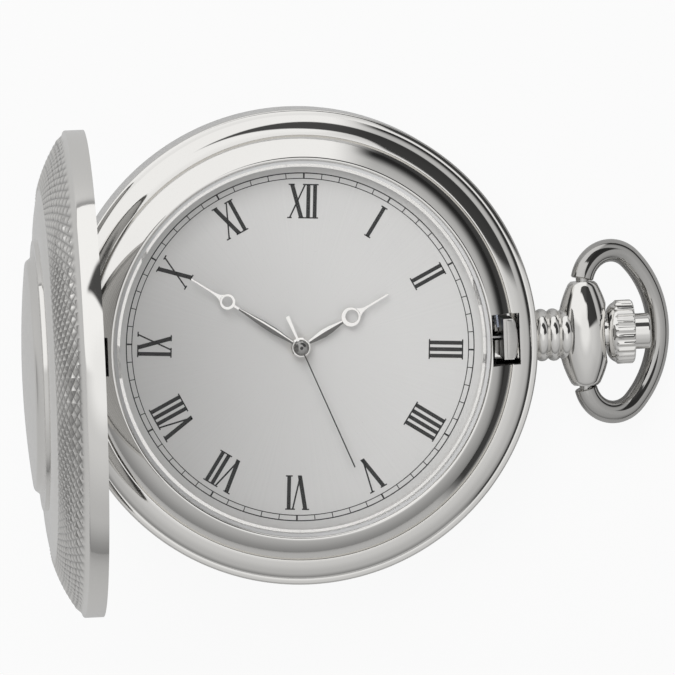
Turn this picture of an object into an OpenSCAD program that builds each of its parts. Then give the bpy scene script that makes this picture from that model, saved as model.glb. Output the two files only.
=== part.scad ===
// Hunter-case pocket watch, lying on its back with the lid open.
// +X runs out through the crown, +Y towards twelve o'clock on the case, +Z out of the dial.
// The origin is on the case axis, at the flat of the back. Sizes are in millimetres.

/* [Case] */
// Outer diameter of the case
case_d = 48; // [45:0.5:52]
// Height of the lid seat above the back
seat_z = 8; // [7.8:0.1:9]
// Height of the joint between the back cover and the case middle
back_joint_z = 1.6; // [1.4:0.05:1.9]
// Thickness of the back cover's floor
back_t = 0.8; // [0.6:0.05:0.85]
// Diameter of the flat that the watch lies on
back_flat_d = 37; // [30:0.5:40]
// Radial width of the rounded shoulder inside the lid seat
shoulder_w = 1.85; // [1.6:0.05:2.1]
// Height of the shoulder above the lid seat
shoulder_h = 0.95; // [0.7:0.05:1.1]
// Radial width of the land that carries the bezel
land_w = 1.35; // [1.2:0.05:1.5]
// Radial depth of the groove that holds the springs
groove_w = 2.4; // [2.2:0.05:2.6]

/* [Bezel and crystal] */
// Radial width of the bezel's slope
bezel_w = 2.5; // [2.2:0.05:2.8]
// Height of the bezel above its land
bezel_h = 2.45; // [2.2:0.05:2.6]
// Thickness of the crystal
crystal_t = 1.2; // [1:0.05:1.4]
// Height that the crystal stands above the bezel
crystal_proud = 0.1; // [0:0.02:0.2]
// Thickness of the gasket round the crystal
gasket_t = 0.3; // [0.2:0.05:0.4]
// Width of the ledge that the crystal sits on
ledge_w = 0.35; // [0.25:0.05:0.5]

/* [Lid] */
// Thickness of the lid's sheet
lid_t = 0.5; // [0.4:0.05:0.6]
// Height of the polished band at the lid's rim
band_h = 1.9; // [1.7:0.05:2.2]
// Height of the dome above the lid's rim
dome_h = 5.15; // [5:0.05:6]
// Rise of the dome's curve above a straight cone
dome_sag = 0.9; // [0.6:0.05:1.1]
// Diameter of the raised disc's base ring
disc_d = 26.8; // [20:0.2:28]
// Diameter of the raised disc's top
disc_top_d = 22.4; // [16:0.2:24]
// Height of the disc's edge above the dome
disc_h = 1.05; // [0.8:0.05:1.4]
// Rise of the disc's crown above its edge
disc_crown = 0.7; // [0.3:0.05:1]
// Width of the nail notch in the lid's rim
notch_w = 3.9; // [3:0.1:4.2]
// Depth of the nail notch
notch_h = 0.6; // [0.3:0.05:0.8]
// Angle of the open lid
lid_open = 90; // [60:1:90]

/* [Hinge] */
// Diameter of the hinge knuckles
knuckle_d = 1.8; // [1.6:0.05:1.9]
// Diameter of the hinge pin
pin_d = 0.9; // [0.7:0.05:1]
// Length of the hinge over all its knuckles
hinge_len = 10.2; // [8:0.2:11]
// Length of the lid's own knuckle
lid_knuckle = 4.1; // [3:0.1:5]
// Distance of the hinge axis inside the case edge
hinge_inset = 0.8; // [0.75:0.01:0.85]
// Height of the hinge axis above the lid seat
hinge_rise = 0.95; // [0.92:0.01:1]

/* [Dial and hands] */
// Thickness of the dial
dial_t = 0.4; // [0.3:0.05:0.5]
// Room for the hands between the dial and the crystal
hand_room = 2.1; // [2:0.05:2.3]
// Distance that the dial reaches under the bezel
dial_lap = 0.5; // [0.3:0.05:0.5]
// Clockwise turn of the dial in the case, in degrees
dial_turn = 3.3; // [0:0.1:6]
// Length of the hour hand from the centre
hour_len = 10.3; // [9:0.1:12]
// Length of the minute hand from the centre
minute_len = 13.1; // [11:0.1:15]
// Length of the seconds hand from the centre
second_len = 13.2; // [11:0.1:15]
// Length of the seconds hand's tail
second_tail = 3.5; // [2.5:0.1:5]
// Clockwise place of the hour hand on the dial, in degrees
hour_at = 57.6; // [0:0.1:360]
// Clockwise place of the minute hand on the dial, in degrees
minute_at = 301; // [0:0.1:360]
// Clockwise place of the seconds hand on the dial, in degrees
second_at = 154.7; // [0:0.1:360]
// Thickness of the hands
hand_t = 0.2; // [0.15:0.01:0.25]

/* [Pendant and bow] */
// Height of the crown's axis above the back
axis_z = 5; // [4.8:0.05:5.2]
// Diameter over the ribs of the pendant's neck
neck_d = 5.3; // [4.6:0.1:5.6]
// Number of ribs on the neck
ribs = 3; // [2:1:4]
// Distance from the case edge to the bow's pivot
pivot_reach = 4.95; // [4.8:0.05:6]
// Diameter of the pendant's spindle at its middle
spindle_d = 5.4; // [5:0.1:5.6]
// Diameter of the spindle's ends
spindle_end_d = 2.7; // [2.2:0.1:3]
// Length of the spindle
spindle_len = 10.6; // [9.6:0.1:10.7]
// Width of the bow over its wire
bow_w = 18.7; // [17.5:0.2:20]
// Reach of the bow from its pivot
bow_reach = 9.9; // [9.6:0.1:11]
// Distance from the pivot to the bow's widest point
bow_belly = 3.2; // [3:0.05:3.3]
// Diameter of the bow's wire
bow_wire = 2.3; // [2:0.05:2.4]
// Radius of the bow's side bends, at the middle of the wire
bow_bend = 3.4; // [3.35:0.05:3.8]
// Diameter of the bow's pivot studs
stud_d = 1; // [0.8:0.05:1.2]

/* [Crown] */
// Diameter of the crown over its flutes
crown_d = 6.45; // [5.8:0.05:7]
// Length of the crown's fluted ring
crown_len = 1.95; // [1.7:0.05:2.4]
// Length of the crown's tapered skirt
skirt_len = 0.75; // [0.5:0.05:1]
// Number of flutes
flutes = 28; // [18:1:30]
// Diameter of the release button
button_d = 3.6; // [3.2:0.05:3.8]
// Height of the button above the crown
button_proud = 1.7; // [1.2:0.05:1.8]
// Diameter of the winding stem
stem_d = 0.66; // [0.5:0.02:0.7]
// Diameter of the collar that pushes the latch
collar_d = 1.5; // [1.3:0.05:1.6]
// Travel of the crown from running to setting
crown_pull = 1; // [0.6:0.05:1]
// Travel of the release button
button_press = 0.8; // [0.5:0.05:0.8]

/* [Latch] */
// Width of the latch
latch_w = 4.1; // [3.4:0.1:4.2]
// Thickness of the latch's plate
latch_t = 1; // [0.8:0.05:1.05]
// Length of the latch's slot along the rim
slot_w = 5.2; // [5:0.1:5.6]
// Thickness of the catch plate on the lid
catch_t = 0.4; // [0.3:0.02:0.44]

/* [Movement] */
// Diameter of the main plate, which a larger battery makes larger
plate_d = 25.8; // [25.8:0.2:28]
// Thickness of the main plate
plate_t = 1.8; // [1.7:0.05:1.85]
// Depth of the movement's rim below the main plate
train_room = 2.1; // [2.1:0.05:2.2]
// Thickness of the train bridge
bridge_t = 0.4; // [0.3:0.05:0.5]
// Diameter of the battery
battery_d = 9.5; // [7.9:0.1:9.5]
// Height of the battery
battery_h = 2.1; // [1.6:0.05:2.1]
// Radius of the seconds arbor
arbor_r = 0.15; // [0.12:0.01:0.16]
// Thickness of the train's wheels
wheel_t = 0.2; // [0.15:0.01:0.22]

/* [Hidden] */
$fn = 96;

// Clearances: a running fit, a loose gap between moving pieces, and a cutter's overshoot
run_fit = 0.05;
gap = 0.1;
over = 1;

// Case radii, from the rim inwards
case_r = case_d / 2;
shoulder_out = case_r - lid_t - gap;
shoulder_in = shoulder_out - shoulder_w;
bezel_r = shoulder_in - gap;
bore_r = shoulder_in - land_w - gap;
groove_r = bore_r + groove_w;
crystal_bore = bezel_r - bezel_w;
crystal_r = crystal_bore - gasket_t;
dial_open = crystal_r - ledge_w;
dial_r = dial_open + dial_lap;

// Case heights, from the table upwards
land_z = seat_z + 0.25;
bezel_top = land_z + bezel_h;
crystal_z = bezel_top + crystal_proud - crystal_t;
dial_top = crystal_z - hand_room;
dial_z = dial_top - dial_t;
groove_h = 3.8;
groove_z = axis_z - groove_h / 2;
lip_t = 0.45;
lip_h = 0.7;
ring_z = back_joint_z + lip_h;
shoulder_sag = 0.3;
edge_break = 0.15;

// Hinge axis, and how far the lid's rim sweeps round it
hinge_x = hinge_inset - case_r;
hinge_z = seat_z + hinge_rise;
hinge_clear = hinge_rise + 0.4;
hinge_half = hinge_len / 2 + 0.5;

// Lid heights above its rim
disc_r = disc_d / 2;
disc_top_r = disc_top_d / 2;
dome_in = disc_r + 0.2;
corner = 0.3;

// Slot, latch and catch at three o'clock
slot_in = crystal_bore + 0.2;
catch_gap = 0.1;
catch_out = shoulder_in + 0.4;
catch_in = catch_out - catch_t;
slot_out = catch_out + 0.15;
latch_face = catch_in - catch_gap;
latch_back = latch_face - latch_t;
nose_h = 0.45;
nose_z = seat_z + 0.75;
window_h = nose_h + 0.25;
bar_h = 0.55;
latch_foot = axis_z - 1.1;

// Pendant, crown and stem, as distances along X
pivot_x = case_r + pivot_reach;
dish_rim = 3.2;
dish_rim_x = pivot_x + 2.3;
dish_r = 9.9;
spindle_front = dish_rim_x - 0.1;
skirt_x = spindle_front + gap;
crown_x = skirt_x + skirt_len;
crown_front = crown_x + crown_len;
button_x = crown_front + button_proud;
crown_r = crown_d / 2;
button_r = button_d / 2;
button_bore = button_r + run_fit;
hub_r = 1.45;
hub_bore = hub_r + run_fit;
hub_len = 2.9;
hub_x = crown_x - hub_len;
stem_r = stem_d / 2;
collar_r = collar_d / 2;
collar_x = latch_face + 0.02;
collar_len = 0.4;
spring_room = button_press + 0.35;
cavity_x = crown_front - 0.75 - spring_room;
button_back = cavity_x + spring_room;

// Bow: an oval of four arcs, tilted down until its limb all but touches the table
wire_r = bow_wire / 2;
bow_a = bow_reach - wire_r - bow_belly;
bow_b = bow_w / 2 - wire_r;
bow_far_r = (bow_a ^ 2 + (bow_b - bow_bend) ^ 2 - bow_bend ^ 2) / (2 * (bow_a - bow_bend));
bow_join = atan2(bow_b - bow_bend, bow_far_r - bow_a);
bow_end = acos(-bow_belly / bow_bend);
bow_end_y = bow_b - bow_bend + bow_bend * sin(bow_end);
bow_seam = 0.15;
bow_core_r = 0.9 * wire_r;
table_gap = 0.03;
bow_tilt = asin((axis_z - wire_r - table_gap) / (bow_reach - wire_r));
stud_in = spindle_len / 2 - 1.6;

// Movement levels
plate_top = dial_z - 0.9;
plate_z = plate_top - plate_t;
rim_t = 0.9;
bridge_top = plate_z - train_room;
bridge_z = bridge_top - bridge_t;
battery_z = back_t + 0.4;
strap_t = 0.2;
battery_wall = 0.25;
battery_gap = 0.42;
second_teeth = 40;
step_module = 0.13;
second_tip_r = step_module * (second_teeth + 2) / 2;
plate_r = max(plate_d / 2, second_tip_r + battery_gap + battery_d + battery_wall);
battery_turn = 231.7;
battery_reach = plate_r - battery_d / 2 - battery_wall;
battery_at = [battery_reach * cos(battery_turn), battery_reach * sin(battery_turn)];
strap_w = 2.4;
strap_pad_d = 4;
strap_lap = 0.3;
pocket_w = 2.6;
clutch_in = 3.7;
clutch_x = plate_r - clutch_in;
clutch_len = 1.2;
clutch_r = 0.85;
stem_tail = clutch_x - 0.5;
groove_x = clutch_x + 1.8;
lever_t = 0.4;
groove_len = lever_t + button_press + 2 * gap;
fork_x = groove_x + gap;
lever_end = fork_x + lever_t + crown_pull + gap;
stem_neck = stem_r - 0.1;

// Train: teeth and modules; wheels that share a pair of arbors share a centre distance
second_pinion = 8;
third_teeth = 60;
second_module = 0.09;
third_pinion = 8;
minute_teeth = 64;
third_module = second_module * (second_pinion + third_teeth) / (third_pinion + minute_teeth);
third_at = 100;
third_reach = second_module * (second_pinion + third_teeth) / 2;
step_pinion = 8;
step_at = 20;
step_reach = step_module * (step_pinion + second_teeth) / 2;
rotor_pinion = 6;
step_teeth = 36;
rotor_module = 0.1;
rotor_at = -35;
rotor_reach = rotor_module * (rotor_pinion + step_teeth) / 2;
cannon_teeth = 10;
motion_teeth = 30;
motion_pinion = 8;
hour_teeth = 32;
motion_module = 0.15;
motion_at = 200;
motion_reach = motion_module * (cannon_teeth + motion_teeth) / 2;

// Train levels: each mesh has its own layer between the bridge and the dial
step_z = bridge_top + 0.15;
second_z = step_z + 0.45;
third_z = second_z + 0.5;
minute_z = third_z + 0.55;
cannon_z = plate_top + 0.15;
hour_z = cannon_z + 0.36;
pinion_t = wheel_t + 0.1;

// Tubes at the centre, one inside the other
minute_bore = arbor_r + run_fit;
minute_tube = 0.45;
hour_bore = minute_tube + run_fit;
hour_tube = 0.75;
dial_bore = hour_tube + gap;
hand_lift = 0.6;
hand_gap = 0.25;
hour_hand_z = dial_top + hand_lift;
minute_hand_z = hour_hand_z + hand_t + hand_gap;
second_hand_z = minute_hand_z + hand_t + hand_gap;
hub_d = 2;
dome_d = 1.44;
dome_rise = 0.24;
second_t = 0.12;
second_w = 0.24;
second_tip_w = 0.1;
second_tail_w = 0.34;
needle_w = 0.32;
needle_tip_w = 0.06;
hour_eye_at = 0.574 * hour_len;
hour_eye_d = 2;
hour_eye_hole = 1.2;
hour_blade = 0.9;
minute_eye_at = 0.669 * minute_len;
minute_eye_d = 1.6;
minute_eye_hole = 1.08;
minute_blade = 0.7;

// Points of an arc from a to b that bulges by sag to the right of the way from a to b
function arc_points(a, b, sag, n = 12) =
    let (
        chord = norm(b - a),
        way = (b - a) / chord,
        out = [way[1], -way[0]],
        r = (chord ^ 2 / 4 + sag ^ 2) / (2 * sag),
        middle = (a + b) / 2 - out * (r - sag),
        half = asin(chord / 2 / r)
    )
    [for (i = [0:n]) let (t = half * (2 * i / n - 1)) middle + r * (sin(t) * way + cos(t) * out)];

function polar(r, a) = [r * cos(a), r * sin(a)];

// An outline from its upper edge, mirrored across the X axis
function both_sides(edge) =
    concat([for (p = edge) [p[0], -p[1]]], [for (i = [len(edge) - 1:-1:0]) edge[i]]);

// A ring, or a disc where the inner radius is 0
module ring(outer, inner, z0, z1) {
    translate([0, 0, z0])
        difference() {
            cylinder(r = outer, h = z1 - z0);
            if (inner > 0)
                translate([0, 0, -over]) cylinder(r = inner, h = z1 - z0 + 2 * over);
        }
}

// A round bar along the crown's axis
module bar_x(r, x0, x1) {
    translate([x0, 0, axis_z]) rotate([0, 90, 0]) cylinder(r = r, h = x1 - x0);
}

// A round bar along the hinge's axis
module bar_hinge(r, y0, y1) {
    translate([hinge_x, y1, hinge_z]) rotate([90, 0, 0]) cylinder(r = r, h = y1 - y0);
}

// A box between two corners
module block(low, high) {
    translate(low) cube(high - low);
}

// A sector of a ring, from one angle to another
module sector(outer, inner, z0, z1, a0, a1) {
    rotate([0, 0, a0])
        rotate_extrude(angle = a1 - a0)
            translate([inner, z0]) square([outer - inner, z1 - z0]);
}

// A wheel's outline, with a tooth centred on the angle at
module teeth_outline(teeth, module_mm, at) {
    pitch = 360 / teeth;
    r = teeth * module_mm / 2;
    root = r - 1.2 * module_mm;
    tip = r + 0.95 * module_mm;
    profile = [[root, -0.3], [r, -0.23], [tip, -0.11], [tip, 0.11], [r, 0.23], [root, 0.3]];
    polygon([for (i = [0:teeth - 1], p = profile) polar(p[0], at + (i + p[1]) * pitch)]);
}

module gear(teeth, module_mm, t, at) {
    linear_extrude(t) teeth_outline(teeth, module_mm, at);
}

// Two wheels mesh on a line at the angle line: one has a tooth there, the other a gap
function gap_at(teeth, line) = line + 180 + 180 / teeth;

// Clockwise place on the dial, turned into an angle from +X in the case
function dial_angle(clockwise) = 90 - clockwise - dial_turn;

// Puts what is modelled on the shut lid where the open lid stands
module open_lid() {
    translate([hinge_x, 0, hinge_z])
        rotate([0, -lid_open, 0])
            translate([-hinge_x, 0, -hinge_z])
                children();
}

// Case

module back_cover() {
    flat_r = back_flat_d / 2;
    rim_low = back_joint_z - 0.5;
    color("silver")
        difference() {
            rotate_extrude()
                polygon(concat(
                    [[0, 0], [flat_r, 0]],
                    arc_points([flat_r, 0], [case_r - edge_break, rim_low], 0.35),
                    [[case_r, back_joint_z - edge_break], [case_r, back_joint_z],
                        [bore_r - run_fit, back_joint_z],
                        [bore_r - run_fit, back_joint_z + lip_h],
                        [bore_r - run_fit - lip_t, back_joint_z + lip_h],
                        [bore_r - run_fit - lip_t, back_t], [0, back_t]]));
            gasket_space();
        }
}

gasket_in = 0.6;
gasket_w = 0.8;
gasket_h = 0.4;

module gasket_space() {
    ring(bore_r + gasket_in + gasket_w, bore_r + gasket_in, back_joint_z - gasket_h, back_joint_z);
}

module back_gasket() {
    color("dimgray") gasket_space();
}

// The seat is lowered at the hinge so that the lid's rim can swing past it
module case_ring() {
    rotate_extrude()
        polygon(concat(
            [[case_r, back_joint_z], [case_r, seat_z - edge_break],
                [case_r - edge_break, seat_z]],
            arc_points([shoulder_out, seat_z], [shoulder_in, seat_z + shoulder_h], shoulder_sag),
            [[shoulder_in, land_z], [bore_r, land_z], [bore_r, groove_z + groove_h],
                [groove_r, groove_z + groove_h], [groove_r, groove_z], [bore_r, groove_z],
                [bore_r, back_joint_z]]));
}

module case_knuckles() {
    half = lid_knuckle / 2 + gap;
    for (side = [-1, 1]) {
        low = side > 0 ? half : -hinge_len / 2;
        high = side > 0 ? hinge_len / 2 : -half;
        bar_hinge(knuckle_d / 2, low, high);
        intersection() {
            block([hinge_x - knuckle_d / 2, low, seat_z - 0.6], [hinge_x + knuckle_d / 2, high, hinge_z]);
            ring(case_r, 0, 0, hinge_z);
        }
    }
}

// The lid spring's tip comes up through a slot beside the hinge
lift_w = 3.9;
lift_in = crystal_bore + 0.6;
lift_out = groove_r - 2 * gap;
spring_tip_w = 1;
spring_tip_y = -1.2;

module lift_slot() {
    block([-lift_out, -lift_w / 2, groove_z + groove_h - over], [-lift_in, lift_w / 2, bezel_top + over]);
}

module case_middle() {
    color("silver")
        difference() {
            union() {
                difference() {
                    case_ring();
                    block([-case_r - over, -case_r, seat_z - gap],
                        [hinge_x + hinge_clear, case_r, seat_z + shoulder_h + over]);
                    bar_hinge(hinge_rise + gap, -lid_knuckle / 2 - gap, lid_knuckle / 2 + gap);
                }
                case_knuckles();
            }
            bar_hinge(pin_d / 2, -hinge_len, hinge_len);
            latch_slot();
            bar_x(collar_r + run_fit, bore_r, case_r + over);
            lift_slot();
        }
}

module latch_slot() {
    block([slot_in, -slot_w / 2, latch_foot - gap], [slot_out, slot_w / 2, bezel_top + over]);
}

module bezel() {
    edge_h = 0.5;
    lip = 0.3;
    slope_sag = 0.1;
    color("silver")
        difference() {
            rotate_extrude()
                polygon(concat(
                    [[bezel_r, land_z]],
                    arc_points([bezel_r, land_z + edge_h], [crystal_bore + lip, bezel_top], slope_sag),
                    [[crystal_bore, bezel_top - gap], [crystal_bore, crystal_z],
                        [dial_open, crystal_z], [dial_open, dial_top],
                        [bore_r - run_fit, dial_top], [bore_r - run_fit, land_z]]));
            latch_slot();
            lift_slot();
        }
}

module crystal_gasket() {
    color("gainsboro") ring(crystal_bore, crystal_r, crystal_z, bezel_top - 2 * gap);
}

module crystal() {
    bevel = 0.25;
    top = crystal_z + crystal_t;
    color("lightblue", 0.4)
        rotate_extrude()
            polygon([[0, crystal_z], [crystal_r, crystal_z], [crystal_r, top - bevel],
                [crystal_r - bevel, top], [0, top]]);
}

// Springs in the case groove: each is a leaf with a foot fixed to the groove's wall
lid_leaf_t = 0.3;
latch_leaf_t = 0.2;
latch_leaf_y = 1;

module lid_spring() {
    inner = groove_r - 0.75;
    tip_x = -groove_r + 0.3;
    color("steelblue") {
        sector(inner + lid_leaf_t, inner, groove_z + 0.6, groove_z + 2.6, 183, 248);
        sector(groove_r, inner - gap, groove_z + 0.5, groove_z + 2.7, 246, 250);
        block([tip_x, spring_tip_y - spring_tip_w / 2, groove_z + 0.4],
            [tip_x + 0.62, spring_tip_y + spring_tip_w / 2, seat_z - 2 * gap]);
    }
}

module latch_spring() {
    inner = bore_r + 0.03;
    start = asin(latch_leaf_y / inner);
    color("steelblue") {
        sector(inner + latch_leaf_t, inner, axis_z - 0.6, axis_z + 0.6, start, 72);
        sector(groove_r, inner, axis_z - 0.6, axis_z + 0.6, 70, 74);
    }
}

// The nose stands out of the latch's top and is sloped, so that the shutting lid pushes it back
module latch() {
    reach = catch_out - latch_face;
    color("gray")
        difference() {
            union() {
                block([latch_back, -latch_w / 2, latch_foot], [latch_face, latch_w / 2, nose_z + nose_h]);
                translate([latch_face, latch_w / 2 - 0.1, nose_z])
                    rotate([90, 0, 0])
                        linear_extrude(latch_w - 0.2)
                            polygon([[0, 0], [reach - 0.05, 0], [reach - 0.05, 0.1], [0, nose_h]]);
            }
            bar_x(stem_r + gap, latch_back - over, latch_face + over);
        }
}

// Lid

function lid_outside() = concat(
    [[case_r, 0], [case_r, band_h]],
    arc_points([case_r - corner, band_h + gap], [dome_in, dome_h], dome_sag),
    [[0, dome_h]]);

function lid_inside() = concat(
    [[0, dome_h - lid_t]],
    [for (i = [12:-1:0]) arc_points([case_r - lid_t - corner, band_h - lid_t / 2],
        [dome_in, dome_h - lid_t], dome_sag)[i]],
    [[case_r - lid_t, band_h - lid_t], [case_r - lid_t, 0]]);

module lid_shut() {
    difference() {
        translate([0, 0, seat_z])
            rotate_extrude() polygon(concat(lid_outside(), lid_inside()));
        block([-case_r - over, -hinge_half, seat_z - over],
            [hinge_x + hinge_clear, hinge_half, hinge_z + hinge_clear - 0.25]);
        block([case_r - 2, -notch_w / 2, seat_z - over],
            [case_r + over, notch_w / 2, seat_z + notch_h]);
    }
}

module lid_knuckle_web() {
    half = lid_knuckle / 2;
    intersection() {
        block([hinge_x - 0.7, -half, hinge_z], [hinge_x + 0.45, half, hinge_z + hinge_clear + 0.3]);
        translate([0, 0, seat_z])
            rotate_extrude() polygon(concat([[0, 0]], lid_outside()));
    }
}

module lid_shell() {
    half = lid_knuckle / 2;
    color("silver")
        open_lid()
            difference() {
                union() {
                    lid_shut();
                    bar_hinge(knuckle_d / 2, -half, half);
                    lid_knuckle_web();
                }
                bar_hinge(pin_d / 2 + run_fit, -hinge_len, hinge_len);
            }
}

module lid_disc() {
    base_h = 0.3;
    step_r = (disc_r + disc_top_r) / 2;
    color("gainsboro")
        open_lid()
            translate([0, 0, seat_z + dome_h])
                rotate_extrude()
                    polygon(concat(
                        [[0, 0], [disc_r, 0], [disc_r - 0.1, base_h], [step_r + 0.1, base_h + 0.05],
                            [step_r - 0.1, base_h], [disc_top_r + 0.4, base_h + 0.3]],
                        arc_points([disc_top_r, disc_h], [0, disc_h + disc_crown], disc_crown / 4)));
}

// The catch plate hangs from the lid into the latch's slot; its window takes the latch's nose
module lid_catch() {
    half = latch_w / 2 + 0.25;
    low = nose_z - gap - bar_h;
    color("gray")
        open_lid()
            difference() {
                intersection() {
                    block([catch_in, -half, low], [catch_out, half, seat_z + dome_h]);
                    translate([0, 0, seat_z - over])
                        rotate_extrude()
                            polygon(concat([[0, 0]], [for (p = lid_outside()) p + [0, over - lid_t / 2]]));
                }
                block([catch_in - over, -latch_w / 2, nose_z - gap],
                    [catch_out + over, latch_w / 2, nose_z - gap + window_h]);
            }
}

module hinge_pin() {
    color("dimgray") bar_hinge(pin_d / 2, -hinge_len / 2, hinge_len / 2);
}

// Pendant, bow and crown

module pendant() {
    rib_rise = 0.3;
    pitch = (pivot_reach - spindle_end_d / 2) / ribs;
    rib_r = (pitch ^ 2 / 4 + rib_rise ^ 2) / (2 * rib_rise);
    neck_core = neck_d / 2 - rib_rise - 0.05;
    spindle_r = spindle_d / 2;
    half = spindle_len / 2;
    sag = spindle_r - spindle_end_d / 2;
    round_r = (half ^ 2 + sag ^ 2) / (2 * sag);
    color("silver")
        difference() {
            union() {
                translate([case_r - 0.6, 0, axis_z])
                    rotate([0, 90, 0])
                        rotate_extrude() {
                            square([neck_core, pivot_reach]);
                            for (i = [0:ribs - 1])
                                translate([neck_d / 2 - rib_r, 0.6 + (i + 0.5) * pitch]) circle(r = rib_r);
                        }
                translate([pivot_x, 0, axis_z])
                    rotate([90, 0, 0])
                        rotate_extrude()
                            intersection() {
                                translate([spindle_r - round_r, 0]) circle(r = round_r);
                                translate([0, -half]) square([spindle_d, spindle_len]);
                            }
            }
            ring(case_r, 0, -over, seat_z + over);
            translate([dish_rim_x + sqrt(dish_r ^ 2 - dish_rim ^ 2), 0, axis_z]) sphere(r = dish_r);
            bar_x(collar_r + run_fit, case_r - over, spindle_front + over);
            bar_x(hub_bore, hub_x - gap, spindle_front + over);
            for (side = [-1, 1])
                translate([pivot_x, side * (half + over), axis_z])
                    rotate([side * 90, 0, 0])
                        cylinder(r = stud_d / 2 + run_fit, h = half + over - stud_in + gap);
        }
}

// The arcs stop just short of each other and a core joins them, as one bent wire
module bow_half() {
    translate([bow_belly, bow_b - bow_bend, 0]) {
        rotate([0, 0, bow_join + bow_seam])
            rotate_extrude(angle = bow_end - bow_join - bow_seam)
                translate([bow_bend, 0]) circle(r = wire_r);
        rotate([0, 0, bow_join])
            translate([bow_bend, 0, 0])
                rotate([90, 0, 0]) cylinder(r = bow_core_r, h = wire_r / 2, center = true);
    }
    translate([0, bow_end_y + wire_r / 2, 0])
        rotate([90, 0, 0])
            cylinder(r = stud_d / 2, h = bow_end_y + wire_r / 2 - stud_in);
}

module bow() {
    color("silver")
        translate([pivot_x, 0, axis_z])
            rotate([0, bow_tilt, 0]) {
                translate([bow_belly + bow_a - bow_far_r, 0, 0])
                    rotate([0, 0, bow_seam - bow_join])
                        rotate_extrude(angle = 2 * (bow_join - bow_seam))
                            translate([bow_far_r, 0]) circle(r = wire_r);
                bow_half();
                mirror([0, 1, 0]) bow_half();
            }
}

oring_r = 0.25;

module crown() {
    skirt_r = crown_r - 1.1;
    flute_r = PI * crown_r / flutes * 0.62;
    bevel = 0.25;
    color("silver")
        difference() {
            translate([0, 0, axis_z])
                rotate([0, 90, 0])
                    rotate_extrude()
                        polygon([[0, hub_x], [hub_r, hub_x], [hub_r, skirt_x], [skirt_r, skirt_x],
                            [crown_r - 0.25, crown_x], [crown_r, crown_x + bevel],
                            [crown_r, crown_front - bevel], [crown_r - 0.35, crown_front],
                            [0, crown_front]]);
            bar_x(stem_r + run_fit, hub_x - over, crown_front);
            bar_x(button_bore, cavity_x, crown_front + over);
            crown_gasket_shape();
            for (i = [0:flutes - 1])
                translate([crown_x - over, 0, axis_z])
                    rotate([i * 360 / flutes, 0, 0])
                        translate([0, crown_r + flute_r * 0.35, 0])
                            rotate([0, 90, 0]) cylinder(r = flute_r, h = crown_len + 2 * over, $fn = 24);
        }
}

module crown_gasket_shape() {
    translate([hub_x + hub_len / 2, 0, axis_z])
        rotate([0, 90, 0])
            rotate_extrude()
                translate([hub_r - oring_r, 0]) circle(r = oring_r + run_fit / 4);
}

module crown_gasket() {
    color("dimgray") crown_gasket_shape();
}

// A dished spring washer that lifts the button
module button_spring() {
    leaf = 0.12;
    rise = spring_room - leaf;
    color("steelblue")
        translate([cavity_x, 0, axis_z])
            rotate([0, 90, 0])
                rotate_extrude()
                    polygon([[button_r - 0.2, 0], [button_r - 0.05, 0], [button_r - 0.05, leaf],
                        [stem_r + 0.5, rise + leaf], [stem_r + 0.35, rise + leaf],
                        [stem_r + 0.35, rise]]);
}

module release_button() {
    edge = 0.2;
    color("silver")
        difference() {
            translate([0, 0, axis_z])
                rotate([0, 90, 0])
                    rotate_extrude()
                        polygon([[0, button_back], [button_r, button_back],
                            [button_r, button_x - edge], [button_r - edge, button_x], [0, button_x]]);
            bar_x(stem_r, button_back - over, button_back + 1);
        }
}

module winding_stem() {
    color("darkgray") {
        difference() {
            bar_x(stem_r, stem_tail, button_back + 1);
            translate([groove_x, 0, axis_z])
                rotate([0, 90, 0])
                    ring(stem_r + over, stem_neck, 0, groove_len);
        }
        difference() {
            bar_x(collar_r, collar_x, collar_x + collar_len);
            bar_x(stem_r / 2, collar_x - over, collar_x + collar_len + over);
        }
    }
}

module clutch_wheel() {
    color("goldenrod")
        difference() {
            translate([clutch_x, 0, axis_z])
                rotate([0, 90, 0])
                    linear_extrude(clutch_len)
                        teeth_outline(14, 2 * clutch_r / 16, 0);
            bar_x(stem_r, clutch_x - over, clutch_x + clutch_len + over);
        }
}

// A fork that rides in the stem's groove, so that it follows the crown in and out
module setting_lever() {
    slot = stem_neck + run_fit;
    half = pocket_w / 2 - 2 * gap;
    color("darkgray")
        difference() {
            block([fork_x, -half, axis_z - 0.7], [fork_x + lever_t, half, plate_top - gap]);
            block([fork_x - over, -slot, axis_z - over], [fork_x + lever_t + over, slot, axis_z]);
            bar_x(slot, fork_x - over, fork_x + lever_t + over);
        }
}

// Movement

ring_flange = 0.9;

module movement_ring() {
    color("white")
        difference() {
            union() {
                ring(bore_r - run_fit, plate_r + run_fit, ring_z, dial_z);
                ring(plate_r + run_fit + gap, plate_r - ring_flange, plate_top, dial_z);
            }
            block([slot_in, -slot_w / 2, ring_z - over], [bore_r + over, slot_w / 2, dial_z + over]);
            bar_x(stem_r + 3 * gap, plate_r - 2, bore_r);
            block([0, -pocket_w / 2, axis_z], [lever_end, pocket_w / 2, plate_top + gap]);
        }
}

third_pos = polar(third_reach, third_at);
step_pos = polar(step_reach, step_at);
rotor_pos = step_pos + polar(rotor_reach, rotor_at);
motion_pos = polar(motion_reach, motion_at);
pivot_r = 0.12;
motion_post = 0.25;
foot_r = 0.35;
foot_reach = 9.5;
foot_len = 0.8;
foot_hole = 1;
foot_turns = [40, 220];
post_places = [[7.4, 4.6], [-6.4, 5.2], [3.2, -8.6]];
post_r = 1;
screw_r = 0.45;
head_r = 0.8;
head_h = 0.3;
screw_len = 1.2;

module at_place(p, z = 0) {
    translate([p[0], p[1], z]) children();
}

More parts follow.
